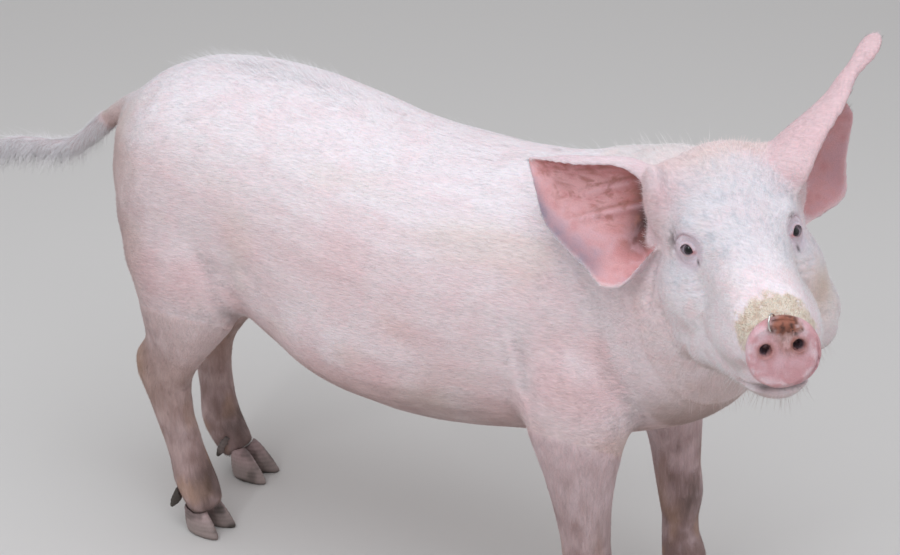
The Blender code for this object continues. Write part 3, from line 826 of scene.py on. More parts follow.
def over(base, colour, amount):
    return base + (np.array(colour[:3]) - base) * np.clip(amount, 0, 1)[:, None]


class Markings:
    """The colours of the skin and of the bristles at points, and how bare the skin is there.

    In the methods x, y and z are places on the pig, hx, hy and hz places in the head's frame,
    and nx and nz say how far the surface faces ahead and up.
    """

    def __init__(self, points, normals, weights, colours):
        self.points, self.normals, self.weights, self.colours = points, normals, weights, colours
        self.head, self.head_up = in_head(points), normals @ from_head((0, 0, 1))
        self.face, self.neck, self.trunk = (weights[n] for n in ("head", "neck", "trunk"))
        self.front = weights["leg_front_right"] + weights["leg_front_left"]
        self.rear = weights["leg_rear_right"] + weights["leg_rear_left"]
        self.patches = clouds(points, 0.090, 1, 0.034, 2)
        self.blotches = clouds(points, 0.016, 3, 0.007, 4)
        self.skin = np.tile(np.array(colours.pink[:3]), (len(points), 1))
        self.hair = np.tile(np.array(colours.white[:3]), (len(points), 1))
        self.bare = np.zeros(len(points))
        self.mark_coat()
        self.mark_dirt()
        self.mark_cheeks()
        for side, _ in SIDES:
            self.mark_eye(side)
        self.mark_muzzle()
        self.mark_snout()
        for name in EAR_ROWS:
            self.mark_ear(name, name == "ear_left")
        self.mark_roots_and_tail()
        self.cover_skin()

    def lay(self, colour, skin=None, hair=None):
        """Lays a colour over the skin and over the hair, each by its own share."""
        tone = getattr(self.colours, colour)
        if skin is not None:
            self.skin = over(self.skin, tone, skin)
        if hair is not None:
            self.hair = over(self.hair, tone, hair)

    def strip(self, share):
        """Bares the skin by a share, or leaves it as bare as it is."""
        self.bare = np.maximum(self.bare, share)

    def mark_coat(self):
        """Cream and pink in the white coat, and painted cool shade of the sky where it faces up."""
        points, head, patches = self.points, self.head, self.patches
        face, neck, trunk, front, rear = self.face, self.neck, self.trunk, self.front, self.rear
        x, _, z = points.T
        hx, _, hz = head.T
        nz = self.normals[:, 2]
        # Cream on the hams, the neck, behind the jaw and along the belly
        cream = rear * 0.60 + neck * 0.12 + face * spot(head, (-0.060, -0.012, 0.060), 0.030)
        cream += face * spot(head, (0.010, 0.085, -0.070), 0.035)
        cream += neck * ramp(nz, 0.2, 0.8) * 0.35
        cream += face * ramp(hx, -0.045, -0.080) * ramp(hz, 0.010, 0.055) * 0.6
        cream += trunk * 1.1 * ramp(x, -0.26, -0.42) * ramp(z, 0.68, 0.54)
        cream += trunk * 0.5 * ramp(z, 0.42, 0.34)
        cream += trunk * ramp(cloud(points, 0.060, 24), 0.60, 0.80) * ramp(z, 0.70, 0.62) * 0.45
        cream += face * ramp(hx, -0.01, -0.07) * ramp(hz, -0.02, -0.11) * 0.25
        cream *= 0.45 + 0.9 * patches
        self.lay("cream", cream * 0.5, cream)
        # Pink that shows through on the flanks, the shoulders and the thighs
        beside = ramp(nz, 0.75, 0.2)
        flush = trunk * ramp(z, 0.66, 0.56) * beside * (0.25 + 0.65 * patches)
        flush *= 0.7 + 0.6 * ramp(patches, 0.35, 0.65)
        flush += neck * ramp(z, 0.76, 0.62) * beside * (0.15 + 0.55 * patches)
        flush += trunk * ramp(x, -0.15, -0.40) * beside * 0.30
        flush += (front + rear) * (0.35 + 0.65 * patches)
        flush += face * (0.05 + 0.45 * ramp(hx, -0.01, -0.07))
        self.lay("pink", hair=flush * 0.70)
        self.lay("tan", hair=trunk * ramp(nz, 0.8, 0.2) * 0.12 * (0.5 + patches))
        # Painted cool shade of the sky over the brow and the top of the rump, where they face up
        sky_shade = face * ramp(self.head_up, 0.0, 0.6) * ramp(hx, 0.10, 0.04) * 0.42
        # Painted shade between the strands of the brow's coat
        strands = 0.6 * cloud(head * (0.22, 1, 1), 0.0032, 29)
        strands += 0.4 * cloud(head * (0.3, 1, 1), 0.0070, 30)
        strand_shade = ramp(strands, 0.46, 0.74) * 0.45
        sky_shade += face * ramp(hx, 0.11, 0.05) * ramp(self.head_up, -0.1, 0.6) * strand_shade
        sky_shade *= ramp(hx, -0.078, -0.030)
        sky_shade += trunk * ramp(nz, 0.5, 0.9) * 0.14 * patches
        self.lay("sky_shade", sky_shade * 0.7, sky_shade)

    def mark_dirt(self):
        """Dirt and painted shade on the legs, darkest low down and at the knees, and on the throat.
        """
        points, patches, blotches = self.points, self.patches, self.blotches
        trunk, front, rear = self.trunk, self.front, self.rear
        x, _, z = points.T
        nx, _, nz = self.normals.T
        # Soil on the legs is partly dirt and partly painted shade, deepest low down
        soil_and_shade = front * (0.38 * ramp(z, 0.50, 0.34) + 0.74 * ramp(z, 0.42, 0.06))
        soil_and_shade += rear * ramp(z, 0.50, 0.06) * 0.95
        # Dirt low on the belly, and painted shade where the trunk faces down
        soil_and_shade += trunk * (ramp(z, 0.42, 0.33) * 0.25 + ramp(nz, -0.1, -0.9) * 0.45)
        # Painted shade on the lower hams
        hams = (trunk + rear) * ramp(x, -0.20, -0.42)
        soil_and_shade += hams * ramp(z, 0.76, 0.46) * ramp(z, 0.16, 0.30) * 0.75
        soil_and_shade *= 0.35 + 1.15 * blotches
        self.lay("soil_and_shade", soil_and_shade * 0.9, soil_and_shade)
        # Tan inside the hocks and in streaks down the legs
        tan = rear * bell(z - 0.285, 0.060) * ramp(x, -0.30, -0.36) * 0.55
        tan += rear * bell(z - 0.23, 0.10) * 0.25 * patches
        streaks = ramp(cloud(points * (1, 1, 0.5), 0.020, 25), 0.55, 0.80)
        tan += (front + rear) * ramp(z, 0.30, 0.08) * streaks * 0.5
        self.lay("tan", tan, tan)
        # Mud over the claws, on the knees and on the pasterns
        mud_and_shade = ramp(z, 0.060, 0.022) * (front + rear) * 0.55 * (0.5 + blotches)
        mud_and_shade += front * bell(z - 0.175, 0.030) * ramp(nx, 0.2, 0.8) * 0.5 * (0.4 + blotches)
        mud_and_shade += rear * bell(z - 0.082, 0.034) * ramp(nx, 0.1, 0.8) * 0.7 * (0.4 + blotches)
        self.lay("mud_and_shade", mud_and_shade, mud_and_shade)
        specks = ramp(cloud(points, 0.0030, 7), 0.86, 0.94) * (trunk + rear)
        specks *= ramp(cloud(points, 0.11, 8), 0.50, 0.70)
        self.lay("mud_and_shade", specks * 0.45, specks * 0.30)
        # Painted shade where the jaw and the neck face down, with some dirt
        throat_shade_and_dirt = (self.face * 0.5 + self.neck) * ramp(nz, -0.30, -0.85)
        for colour, share in (("tan", 0.65), ("soil_and_shade", 0.80)):
            self.lay(colour, throat_shade_and_dirt * share, throat_shade_and_dirt * share)

    def mark_cheeks(self):
        """Faint tan stains beside the face, and a browner far cheek."""
        stain = self.face * ramp(cloud(self.points, 0.0130, 31), 0.55, 0.80)
        stain *= ramp(np.abs(self.head[:, 1]), 0.018, 0.030)
        self.lay("tan", hair=stain * 0.12)
        far_cheek = self.face * spot(self.head, (0.045, 0.075, -0.065), 0.040)
        far_cheek *= 0.5 + self.patches
        self.lay("tan", far_cheek * 0.30, far_cheek * 0.45)

    def mark_eye(self, side):
        """Lilac lids with dark edges, painted shade in the slit, a red corner, and dark marks and
        painted shadow beside the eye.
        """
        centre, along, rise, _ = eye_axes(side)
        away = self.points - centre
        gap = np.linalg.norm(away, axis=1)
        a, b = away @ along, away @ rise
        reach = np.hypot(a * LID_STRETCH, b) + FAR * (gap > 0.032)
        lids = self.face * ramp(reach, 0.030, 0.019)
        self.lay("lilac", lids * 0.85, lids * 0.6)
        self.strip(self.face * ramp(reach, 0.0235, 0.0195))
        upper, lower = lid_edges(a)
        inside = np.where(np.abs(a) < LID_HALF_WIDTH, np.minimum(upper - b, b - lower), -0.01)
        slit = reach < 0.0155
        self.lay("dark", bell(inside, 0.0007) * slit * 0.75)
        # Painted shade on the skin inside the slit, where it dips into the gap around the eyeball
        self.lay("dark", ramp(inside, 0.0003, 0.0012) * slit)
        self.lay("raw", bell(inside + 0.0011, 0.0010) * slit * 0.22)
        corner = bell(a + LID_HALF_WIDTH, 0.0034) * bell(b, 0.0026) * (reach < 0.0165)
        self.lay("raw", corner * 0.75)
        crease = self.face * bell(reach - 0.0166, 0.0011) * ramp(b, 0.002, 0.008)
        self.lay("raw", crease * 0.25 * ramp(a, -0.010, 0.004))
        # Tear stains under the eye; painted hair shadow behind the right eye, a dark mark over the
        # left
        if side < 0:
            smudge = bell(a + 0.0185, 0.0034) * bell(b + 0.0085 - 0.5 * (a + 0.0185), 0.0026)
            dark_patch = bell(a - 0.0265, 0.0085) * bell(b - 0.003, 0.0150)
        else:
            smudge = bell(a + 0.008, 0.0036) * bell(b + 0.0175, 0.0044)
            dark_patch = bell(a + 0.004, 0.0060) * bell(b - 0.0215, 0.0034)
        close = self.face * (gap < 0.042)
        smudge = close * smudge * 0.85
        self.lay("dark", smudge, smudge)
        dark_patch = close * dark_patch * ramp(cloud(self.points, 0.0030, 32), 0.20, 0.55) * 0.75
        self.lay("mud_and_shade", dark_patch, dark_patch)

    def mark_muzzle(self):
        """Darker lips with painted shade along the mouth, painted shadow under the disc, a pinker
        muzzle, and an arc of clinging bran over the snout's rim.
        """
        points, face = self.points, self.face
        hx, hy, hz = self.head.T
        mouth, _ = near_path(self.head[:, [0, 2]], FACE_FOLDS[0][0])
        lips = face * bell(mouth, 0.0050) * ramp(np.abs(hy), 0.02, 0.034)
        self.lay("raw", lips * 0.25)
        # Painted shade in the fold of the mouth
        self.lay("dark", face * bell(mouth, 0.0014) * 0.45)
        self.strip(lips * 0.4)
        # Painted shadow under the overhanging disc
        under = face * bell(hz - MOUTH_HEIGHT + 0.0022, 0.0058) * ramp(hx, 0.105, 0.135)
        self.lay("mud_and_shade", under, under * 0.8)
        muzzle = face * ramp(hx, 0.085, 0.125)
        self.lay("disc", muzzle * 0.55 * ramp(self.head_up, 0.75, 0.1))
        arc = ramp(hx, 0.112, 0.142) * ramp(hx, 0.161, 0.156) * ramp(self.head_up, -0.30, 0.25)
        arc *= ramp(hz, -0.118, -0.098)
        edge = clouds(points, 0.009, 13, 0.0030, 14, 0.5)
        self.bran = face * ramp(edge + 0.8 * arc, 0.82, 1.12)
        crumbs = clouds(points, 0.0042, 5, 0.0019, 20)
        self.lay("bran", self.bran * 0.9, self.bran * 0.8)
        self.lay("tan", self.bran * ramp(crumbs, 0.56, 0.30) * 0.55)
        self.strip(self.bran * 0.85)

    def mark_snout(self):
        """The snout's disc, its nostrils and the rust-brown mud above the ring."""
        points, head = self.points, self.head
        hx, hy, hz = head.T
        measure = snout_measure(head)
        disc = self.face * ramp(hx, 0.1500, 0.1560)
        self.lay("disc", disc)
        self.strip(self.face * ramp(hx, 0.146, 0.153))
        dapple = ramp(clouds(points, 0.0090, 6, 0.0038, 23), 0.35, 0.70)
        self.lay("raw", disc * (dapple * 0.34 + 0.12 * ramp(measure, 0.80, 1.05)))
        low = disc * ramp(hz, -0.075, -0.112)
        self.lay("raw", low * 0.16)
        self.lay("soil_and_shade", low * 0.14)
        self.lay("white", disc * bell(measure - 0.80, 0.10) * ramp(dapple, 0.7, 0.1) * 0.30)
        # The patch of mud has a ragged lower edge and a trail running down from it
        across, up = hy - MUD_MIDDLE[1], hz - MUD_MIDDLE[2]
        lower_edge = ramp(up, 0.002, -0.004)
        patch = np.hypot(across / 1.45, up) + 0.005 * (cloud(points, 0.0050, 15) - 0.5)
        patch += 0.006 * (cloud(head * (1, 1, 0.35), 0.0018, 16) - 0.5) * lower_edge
        rust = disc * ramp(patch, 0.0150, 0.0085)
        trail = disc * bell(across, 0.012) * ramp(up, -0.042, -0.014)
        trail *= ramp(cloud(points * (1, 1, 0.5), 0.0034, 14), 0.34, 0.58)
        self.lay("tan", disc * bell(across, 0.013) * ramp(up, -0.046, -0.010) * 0.40)
        self.lay("rust", np.maximum(rust, trail * 0.8), rust)
        grit = ramp(cloud(head * (1, 1, 0.40), 0.0022, 9), 0.42, 0.80)
        gritty = rust * (0.40 + 0.6 * bell(patch - 0.0100, 0.0035) * lower_edge) + trail * 0.6
        self.lay("dark", gritty * grit, rust * grit * 0.8)
        self.bare = self.bare * (1 - 0.9 * rust)
        for side, _ in SIDES:
            gap = np.hypot(hy - NOSTRIL_LEAN - side * NOSTRIL_ACROSS, hz - NOSTRIL_HEIGHT)
            self.lay("rust", disc * bell(gap - 0.0078, 0.0030) * 0.55)
            # The inside of each nostril is painted dark, as the shade of its opening
            self.lay("nostril_shade", disc * ramp(gap, 0.0070, 0.0046))

    def mark_ear(self, name, left):
        """The raw skin, the ridges and the stains inside an ear, with painted light and shade on
        the ridges and in the hollows, and its back and its margins.
        """
        points, weight = self.points, self.weights[name]
        along, up, turn, side = ear_place(name, self.head)
        inner = weight * ramp(side, 0.0002, -0.0010)
        root = inner * ramp(along, 0.080, 0.030)
        veins = ramp(cloud(points * (1, 1, 1.6), 0.006, 10), 0.5, 0.8)
        self.lay("ear", inner)
        self.lay("raw", inner * (0.08 + 0.35 * veins) * ramp(turn, -0.9, 0.4))
        # Redder towards the upper margin, the skin's own red deepened by painted shade under the
        # roll
        self.lay("raw", inner * ramp(turn, 0.30, 0.75) * 0.65)
        self.lay("raw", root * ramp(turn, -0.75, -0.10) * 0.6)
        self.lay("rust", root * ramp(turn, -0.5, 0.3) * 0.5)
        # Painted shade deep in the hollow at the root
        self.lay("dark", inner * ramp(along, 0.052, 0.022) * ramp(turn, -0.50, 0.0) * 0.9)
        for path in EAR_RIDGES:
            ridge, furrow, far = near_ridge(along, up, path)
            ends = inner * ramp(far, -0.02, 0.1) * ramp(far, 1.02, 0.45)
            # Painted shade in the furrow over each ridge, and a painted highlight on the ridge
            self.lay("rust", ends * bell(furrow, 0.0017) * 0.65)
            self.lay("disc", ends * bell(ridge, 0.0042) * 0.40)
        flecks = ramp(clouds(points, 0.0080, 12, 0.0020, 11, 0.55), 0.52, 0.70)
        self.lay("rust", inner * flecks * ramp(turn, -0.6, 0.1) * 0.55)
        mottle = clouds(points, 0.0120, 27, 0.0050, 28)
        self.lay("disc", inner * ramp(mottle, 0.45, 0.70) * ramp(turn, 0.3, -0.5) * 0.55)
        self.lay("raw", inner * ramp(mottle, 0.50, 0.25) * 0.25)
        slate = weight * bell(turn + 0.98, 0.36) * ramp(along, 0.030, 0.06)
        slate *= ramp(along, 0.20, 0.15) * (0.75 + 0.9 * (mottle - 0.3)) * (0.2 if left else 1.0)
        self.lay("slate", slate * 0.8)
        outer = weight * ramp(side, -0.0004, 0.0008)
        flushed = outer * (0.55 * ramp(along, 0.0, 0.05) if left else 0.35)
        self.lay("pink" if left else "lilac", flushed)
        self.lay("pink", hair=flushed)
        if left:
            self.lay("soil_and_shade", hair=outer * 0.28)
        self.lay("white", weight * ramp(np.abs(turn), 0.90, 1.0) * 0.30)
        self.strip(inner)

    def mark_roots_and_tail(self):
        """Redder skin at the ears' roots, and a darker tail, partly dirt and partly painted shade.
        """
        for middle, _ in SWELLINGS:
            root = (1 - self.bare) * spot(self.head, middle, 0.036)
            self.lay("raw", root * 0.45, root * 0.36)
        # The tail's darkening is partly dirt and partly painted shade
        tail = self.weights["tail"]
        darkening = 0.2 + ramp(self.blotches, 0.35, 0.65)
        self.lay("soil_and_shade", tail * 0.42, tail * 0.16 * darkening)

    def cover_skin(self):
        """Where the coat is thick its colour hides the skin's."""
        weights = self.weights
        cover = 0.80 * (self.trunk + self.neck + self.face) + 0.5 * weights["tail"]
        cover += (self.front + self.rear) * (0.62 + 0.18 * ramp(self.points[:, 2], 0.34, 0.46))
        cover += 0.45 * (weights["ear_right"] + weights["ear_left"])
        cover *= (1 - self.bare) * (1 - 0.30 * ramp(self.blotches, 0.40, 0.72))
        self.skin = self.skin + (self.hair - self.skin) * np.clip(cover, 0, 1)[:, None]


# ---- Materials


class Look:
    """A material and the nodes of its one shader."""

    def __init__(self, name):
        self.material = bpy.data.materials.new(name)
        self.material.use_nodes = True
        self.tree = self.material.node_tree

    def fill(self, node, inputs):
        """Sets a node's inputs, by number or name, or links them where a socket is given."""
        for key, value in inputs.items():
            socket = node.inputs[key if isinstance(key, int) else key.replace("_", " ")]
            if isinstance(value, bpy.types.NodeSocket):
                self.tree.links.new(value, socket)
            else:
                socket.default_value = value

    def add(self, kind, output, *places, operation=None, **inputs):
        """Adds a node and gives one of its outputs."""
        node = self.tree.nodes.new("ShaderNode" + kind)
        if operation:
            node.operation = operation
        self.fill(node, {**dict(enumerate(places)), **inputs})
        return node.outputs[output]

    def stored(self, name, output="Color"):
        """What store() kept under a name."""
        node = self.tree.nodes.new("ShaderNodeAttribute")
        node.attribute_name = name
        return node.outputs[output]

    def place(self):
        return self.add("TexCoord", "Object")

    def streaks(self, turn, scale, size):
        """Noise drawn out along one direction, as fine hairs lie."""
        drawn = self.add("Mapping", "Vector", Vector=self.place(), Rotation=turn, Scale=scale)
        return self.add(
            "TexNoise", "Fac", Vector=drawn, Scale=size, Detail=3.0, Roughness=0.62, Distortion=0.25
        )

    def mixed(self, a, b, share):
        return self.add("Mix", "Result", Factor=share, A=a, B=b)

    def shaded(self, noise, dark, light, **span):
        """The stored tint, made darker and lighter by a noise."""
        shade = self.add("MapRange", "Result", Value=noise, To_Min=dark, To_Max=light, **span)
        return self.add("VectorMath", "Vector", self.stored("Tint"), operation="SCALE", Scale=shade)

    def finished(self, **inputs):
        self.fill(self.tree.nodes["Principled BSDF"], inputs)
        return self.material


def skin_material(settings):
    look = Look("Pig skin")
    zone = look.stored("Zone")
    legs, head, bare = (
        look.add("SeparateColor", key, Color=zone) for key in ("Red", "Green", "Blue")
    )
    hairs = look.streaks((0, math.radians(-9), 0), (0.16, 1, 1), 420)
    hairs = look.mixed(hairs, look.streaks((0, 0, 0), (1, 1, 0.22), 400), legs)
    face = look.streaks((HEAD_TILT, -HEAD_LIFT, -HEAD_TURN), (0.16, 1, 1), 420)
    hairs = look.mixed(hairs, face, head)
    pores = look.add("TexNoise", "Fac", Vector=look.place(), Scale=900.0, Detail=2.0, Roughness=0.5)
    bumps = look.mixed(hairs, pores, bare)
    bump = look.add("Bump", "Normal", Strength=0.55, Distance=settings.streak_height, Height=bumps)
    grains = look.add("TexVoronoi", "Distance", Vector=look.place(), Scale=620.0)
    heaps = look.add("Math", "Value", grains, look.stored("Bran", "Fac"), operation="MULTIPLY")
    return look.finished(
        Normal=look.add("Bump", "Normal", Strength=0.9, Distance=0.0016, Height=heaps, Normal=bump),
        Base_Color=look.shaded(bumps, 0.88, 1.06, From_Min=0.30, From_Max=0.70),
        Roughness=look.add("MapRange", "Result", Value=bare, To_Min=0.68, To_Max=0.46),
        Subsurface_Weight=0.10, Subsurface_Scale=0.006, Subsurface_Radius=(1.0, 0.40, 0.28),
        Specular_IOR_Level=0.35,
    )


def coat_material():
    look = Look("Pig bristles")
    return look.finished(Base_Color=look.stored("Tint"), Roughness=0.48, Specular_IOR_Level=0.4)


def eye_material(colours):
    look = Look("Pig eye")
    bands = look.tree.nodes.new("ShaderNodeValToRGB")
    stops = (
        (0.00, colours.pupil), (0.25, colours.pupil), (0.30, colours.iris_dark),
        (0.38, colours.iris), (0.46, colours.iris_dark), (0.52, colours.eye_white),
        (1.00, colours.eye_white),
    )
    elements = bands.color_ramp.elements
    for position, _ in stops[1:-1]:
        elements.new(position)
    for element, (position, colour) in zip(elements, stops):
        element.position, element.color = position, (*colour[:3], 1)
    look.fill(bands, {"Fac": look.stored("Polar", "Fac")})
    return look.finished(Base_Color=bands.outputs["Color"], Roughness=0.06)


def horn_material():
    look = Look("Pig horn")
    grain = look.streaks((0, 0, 0), (1, 1, 0.16), 520)
    return look.finished(
        Normal=look.add("Bump", "Normal", Strength=0.35, Distance=0.0004, Height=grain),
        Base_Color=look.shaded(grain, 0.85, 1.15), Roughness=0.52,
    )


def plain_material(name, colour, **numbers):
    return Look(name).finished(Base_Color=(*colour[:3], 1), **numbers)


# ---- The coat


def lie_of_coat(points, normals, weights):
    """The way the bristles point."""
    head = in_head(points)
    count = (len(points), 1)
    x, _, z = points.T
    nz = normals[:, 2]
    behind = ramp(x, -0.32, -0.46)
    trunk = np.tile([-1.0, 0.0, -0.12], count)
    trunk += behind[:, None] * (0.55, 0.0, -1.3)
    crown = ramp(nz, 0.4, 0.9) * (1 - behind)
    trunk[:, 2] += 0.1 * crown
    neck = np.tile([-0.72, 0.62, -0.25], count)
    neck[:, 2] -= 0.5 * ramp(nz, 0.4, -0.4)
    face = np.tile(from_head((-1.0, 0.0, -0.08)), count)
    outwards = 0.25 * np.sign(head[:, 1]) * ramp(np.abs(head[:, 1]), 0.005, 0.05)
    lower = 0.55 * ramp(head[:, 2], 0.0, -0.10)
    face += outwards[:, None] * from_head((0, 1, 0)) - lower[:, None] * from_head((0, 0, 1))
    leg = np.tile([0.0, 0.0, -1.0], count)
    leg[:, 0] -= 0.45 * ramp(z, 0.15, 0.45)
    ways = {"trunk": trunk, "neck": neck, "head": face}
    ways.update({name: np.array(HEAD @ ear_axes(name)[1]) for name in EAR_ROWS})
    ways.update({name: leg for name in LEGS})
    ways["tail"] = np.array([-0.25, 0.05, -1.0])
    flow = sum(weights[name][:, None] * way for name, way in ways.items())
    bend = 0.22 * (cloud(points, 0.05, 21) - 0.5) + 0.16 * (cloud(points, 0.018, 22) - 0.5)
    flow -= normals * np.sum(flow * normals, axis=1, keepdims=True)
    flow = unit(flow)
    return unit(flow + np.cross(normals, flow) * (2 * bend)[:, None])


def above_skin(tree, points, height):
    """Lifts points that lie under the skin, or too close over it, to a height over it."""
    lifted = points.copy()
    for k, point in enumerate(points):
        near, normal, _, _ = tree.find_nearest(point)
        low = height - (Vector(point) - near).dot(normal)
        if low > 0:
            lifted[k] += np.array(normal) * low
    return lifted


def bristle_mesh(name, tree, roots, ways, normals, lengths, widths, lifts, sag, colours, bent):
    """Many tapered bristles in one mesh, each closed. A bent one has a second ring on its way."""
    count = len(roots)
    tips = roots + unit(ways + normals * lifts[:, None]) * lengths[:, None]
    tips = above_skin(tree, tips, TIP_CLEARANCE)
    ahead = unit(tips - roots)
    sides = unit(np.cross(normals, ahead))
    ups = np.cross(ahead, sides)
    turns = np.array([math.pi * (0.5 + 2 * k / 3) for k in range(3)])
    rings = []
    stages = ((0.0, 1.0), BEND_AT)[: 2 if bent else 1]
    flop = (sag * lengths)[:, None]
    for share, girth in stages:
        centre = roots + ahead * (lengths * share)[:, None] - normals * flop * share**2
        centre -= normals * (ROOT_DEPTH * (share == 0.0))
        for turn in turns:
            outwards = math.cos(turn) * sides + math.sin(turn) * FLATNESS * ups
            rings.append(centre + 0.5 * widths[:, None] * girth * outwards)
    rings.append(roots + ahead * lengths[:, None] - normals * flop)
    per = len(rings)
    points = np.stack(rings, axis=1).reshape(-1, 3)
    tip = per - 1
    last = tip - 3
    quads = [(k, (k + 1) % 3, 3 + (k + 1) % 3, 3 + k) for k in range(3)] if bent else []
    faces = quads + [(last + k, last + (k + 1) % 3, tip) for k in range(3)] + [(2, 1, 0)]
    sizes = np.array([len(f) for f in faces], np.int32)
    pattern = np.concatenate([np.array(f, np.int32) for f in faces])
    loops = (pattern[None, :] + (np.arange(count, dtype=np.int32) * per)[:, None]).ravel()
    totals = np.tile(sizes, count)
    starts = np.concatenate([[0], np.cumsum(totals)[:-1]]).astype(np.int32)
    mesh = bpy.data.meshes.new(name)
    mesh.vertices.add(len(points))
    mesh.vertices.foreach_set("co", points.astype(np.float32).ravel())
    mesh.loops.add(len(loops))
    mesh.loops.foreach_set("vertex_index", loops)
    mesh.polygons.add(len(totals))
    mesh.polygons.foreach_set("loop_start", starts)
    mesh.polygons.foreach_set("loop_total", totals)
    mesh.polygons.foreach_set("use_smooth", np.ones(len(totals), bool))
    mesh.update(calc_edges=True)
    mesh.validate()
    store(mesh, "Tint", np.repeat(colours, per, axis=0))
    shading = np.repeat(unit(normals * 1.6 + ups), per, axis=0)
    mesh.normals_split_custom_set_from_vertices(shading.astype(np.float32))

    # Each bristle's patch lies at its root's place, on the sides of a box around the piece
    low, high = roots.min(axis=0), roots.max(axis=0)
    spread = float((high - low).max()) * 1.02
    local = (roots - low) / spread
    axis = np.argmax(np.abs(normals), axis=1)
    sign = (normals[np.arange(count), axis] > 0).astype(int)
    across = np.choose(axis, (local[:, 1], local[:, 0], local[:, 0]))
    upward = np.choose(axis, (local[:, 2], local[:, 2], local[:, 1]))
    middles = np.stack([(axis + 0.02 + 0.96 * across) / 3, (sign + 0.02 + 0.96 * upward) / 2], 1)
    spots = [(0.0, -1.0), (-1.0, -1.0), (1.0, -1.0), (0.0, 0.0), (-0.7, 0.0), (0.7, 0.0)][:tip]
    layout = PATCH_HALF * np.array([(spots + [(0.0, 1.0)])[k] for k in pattern])
    layout = middles[:, None, :] + layout[None, :, :]
    layer = mesh.uv_layers.new(name="OFBake")
    layer.data.foreach_set("uv", layout.astype(np.float32).ravel())
    return mesh


class Hide:
    """The finished skin as arrays, to root bristles on."""

    def __init__(self, skin):
        mesh = skin.data
        mesh.calc_loop_triangles()
        self.corners = read(mesh.loop_triangles, "vertices", 3, np.int32)
        self.points, self.normals = points_of(mesh), normals_of(mesh)
        self.tree = BVHTree.FromPolygons(self.points.tolist(), self.corners.tolist())
        self.table, self.names = final_shares(skin)
        self.hair = read(mesh.attributes["HairTint"].data, "color", 4)[:, :3]
        self.bare = read(mesh.attributes["Bare"].data, "value")
        a, b, c = (self.points[self.corners[:, k]] for k in range(3))
        self.areas = np.linalg.norm(np.cross(b - a, c - a), axis=1) / 2
        self.middles = (a + b + c) / 3
        self.shares = self.table[self.corners].mean(axis=1)
        self.facing = unit(self.normals[self.corners].mean(axis=1))

    def weight(self, *parts):
        return sum(self.shares[:, self.names.index(part)] for part in parts)

    def scatter(self, count, density, dice):
        """Roots on the skin, thicker where the density of a face is higher."""
        bare = self.bare[self.corners].mean(axis=1)
        chance = np.maximum(self.areas * density * (1 - bare), 0)
        picked = dice.choice(len(chance), count, p=chance / chance.sum())
        u, v = np.sqrt(dice.random(count)), dice.random(count)
        shares = np.stack([1 - u, u * (1 - v), u * v], 1)[:, :, None]
        corner = self.corners[picked]
        points, normals, table, hair = (
            (values[corner] * shares).sum(axis=1)
            for values in (self.points, self.normals, self.table, self.hair)
        )
        return points, unit(normals), by_name(table, self.names), hair


def grow(hide, settings, seed, name, count, density, length, width, lift, sag, bent, way):
    """One piece of the coat. Lift and sag are shares of a bristle's length."""
    dice = np.random.default_rng(seed)
    points, normals, weights, hair = hide.scatter(count, density, dice)
    ways = lie_of_coat(points, normals, weights)
    if way is not None:
        ways = unit(ways * 0.5 + np.array(way))
    jitter = dice.normal(0, WAY_SPREAD, (count, 3))
    ways = unit(ways + jitter - normals * np.sum(jitter * normals, axis=1, keepdims=True))
    lengths = length * np.exp(dice.normal(0, LENGTH_SPREAD, count))
    widths = width * np.exp(dice.normal(0, WIDTH_SPREAD, count))
    lifts = lift * np.exp(dice.normal(0, LIFT_SPREAD, count))
    shade_spread = FACE_SHADE_SPREAD if name == "coat_head" else SHADE_SPREAD
    shade = np.exp(dice.normal(0, shade_spread, count))[:, None]
    hair = np.clip(hair * shade * settings.lightness, 0, 0.95)
    mesh = bristle_mesh(
        name, hide.tree, points, ways, normals, lengths, widths, lifts, sag, hair, bent
    )
    return placed(name, mesh)


# ---- Sizes and colours a user would change


def number_setting(name, description, value, **more):
    return bpy.props.FloatProperty(name=name, description=description, default=value, **more)


def length_setting(name, description, value):
    return number_setting(name, description, value, unit="LENGTH", precision=5)


def count_setting(name, description, value):
    return bpy.props.IntProperty(name=name, description=description, default=value, min=1)


def colour_setting(name, description, *shares):
    return bpy.props.FloatVectorProperty(
        name=name, description=description, default=paint(*shares), subtype="COLOR", size=3,
        min=0, max=1,
    )


class PigSkinSettings(bpy.types.PropertyGroup):
    cell: length_setting("Cell", "Size of the cells the flesh is fused in", 0.0025)
    draft_cell: length_setting("Draft cell", "The same, for a quick look", 0.0036)
    smoothing: count_setting("Smoothing", "Rounds of smoothing", 70)
    body_triangles: count_setting("Body triangles", "Triangles behind the head", 62000)
    head_triangles: count_setting("Head triangles", "Triangles on head and ears", 84000)
    streak_height: length_setting("Streak height", "Height of the finest hairs, as bump", 0.0016)


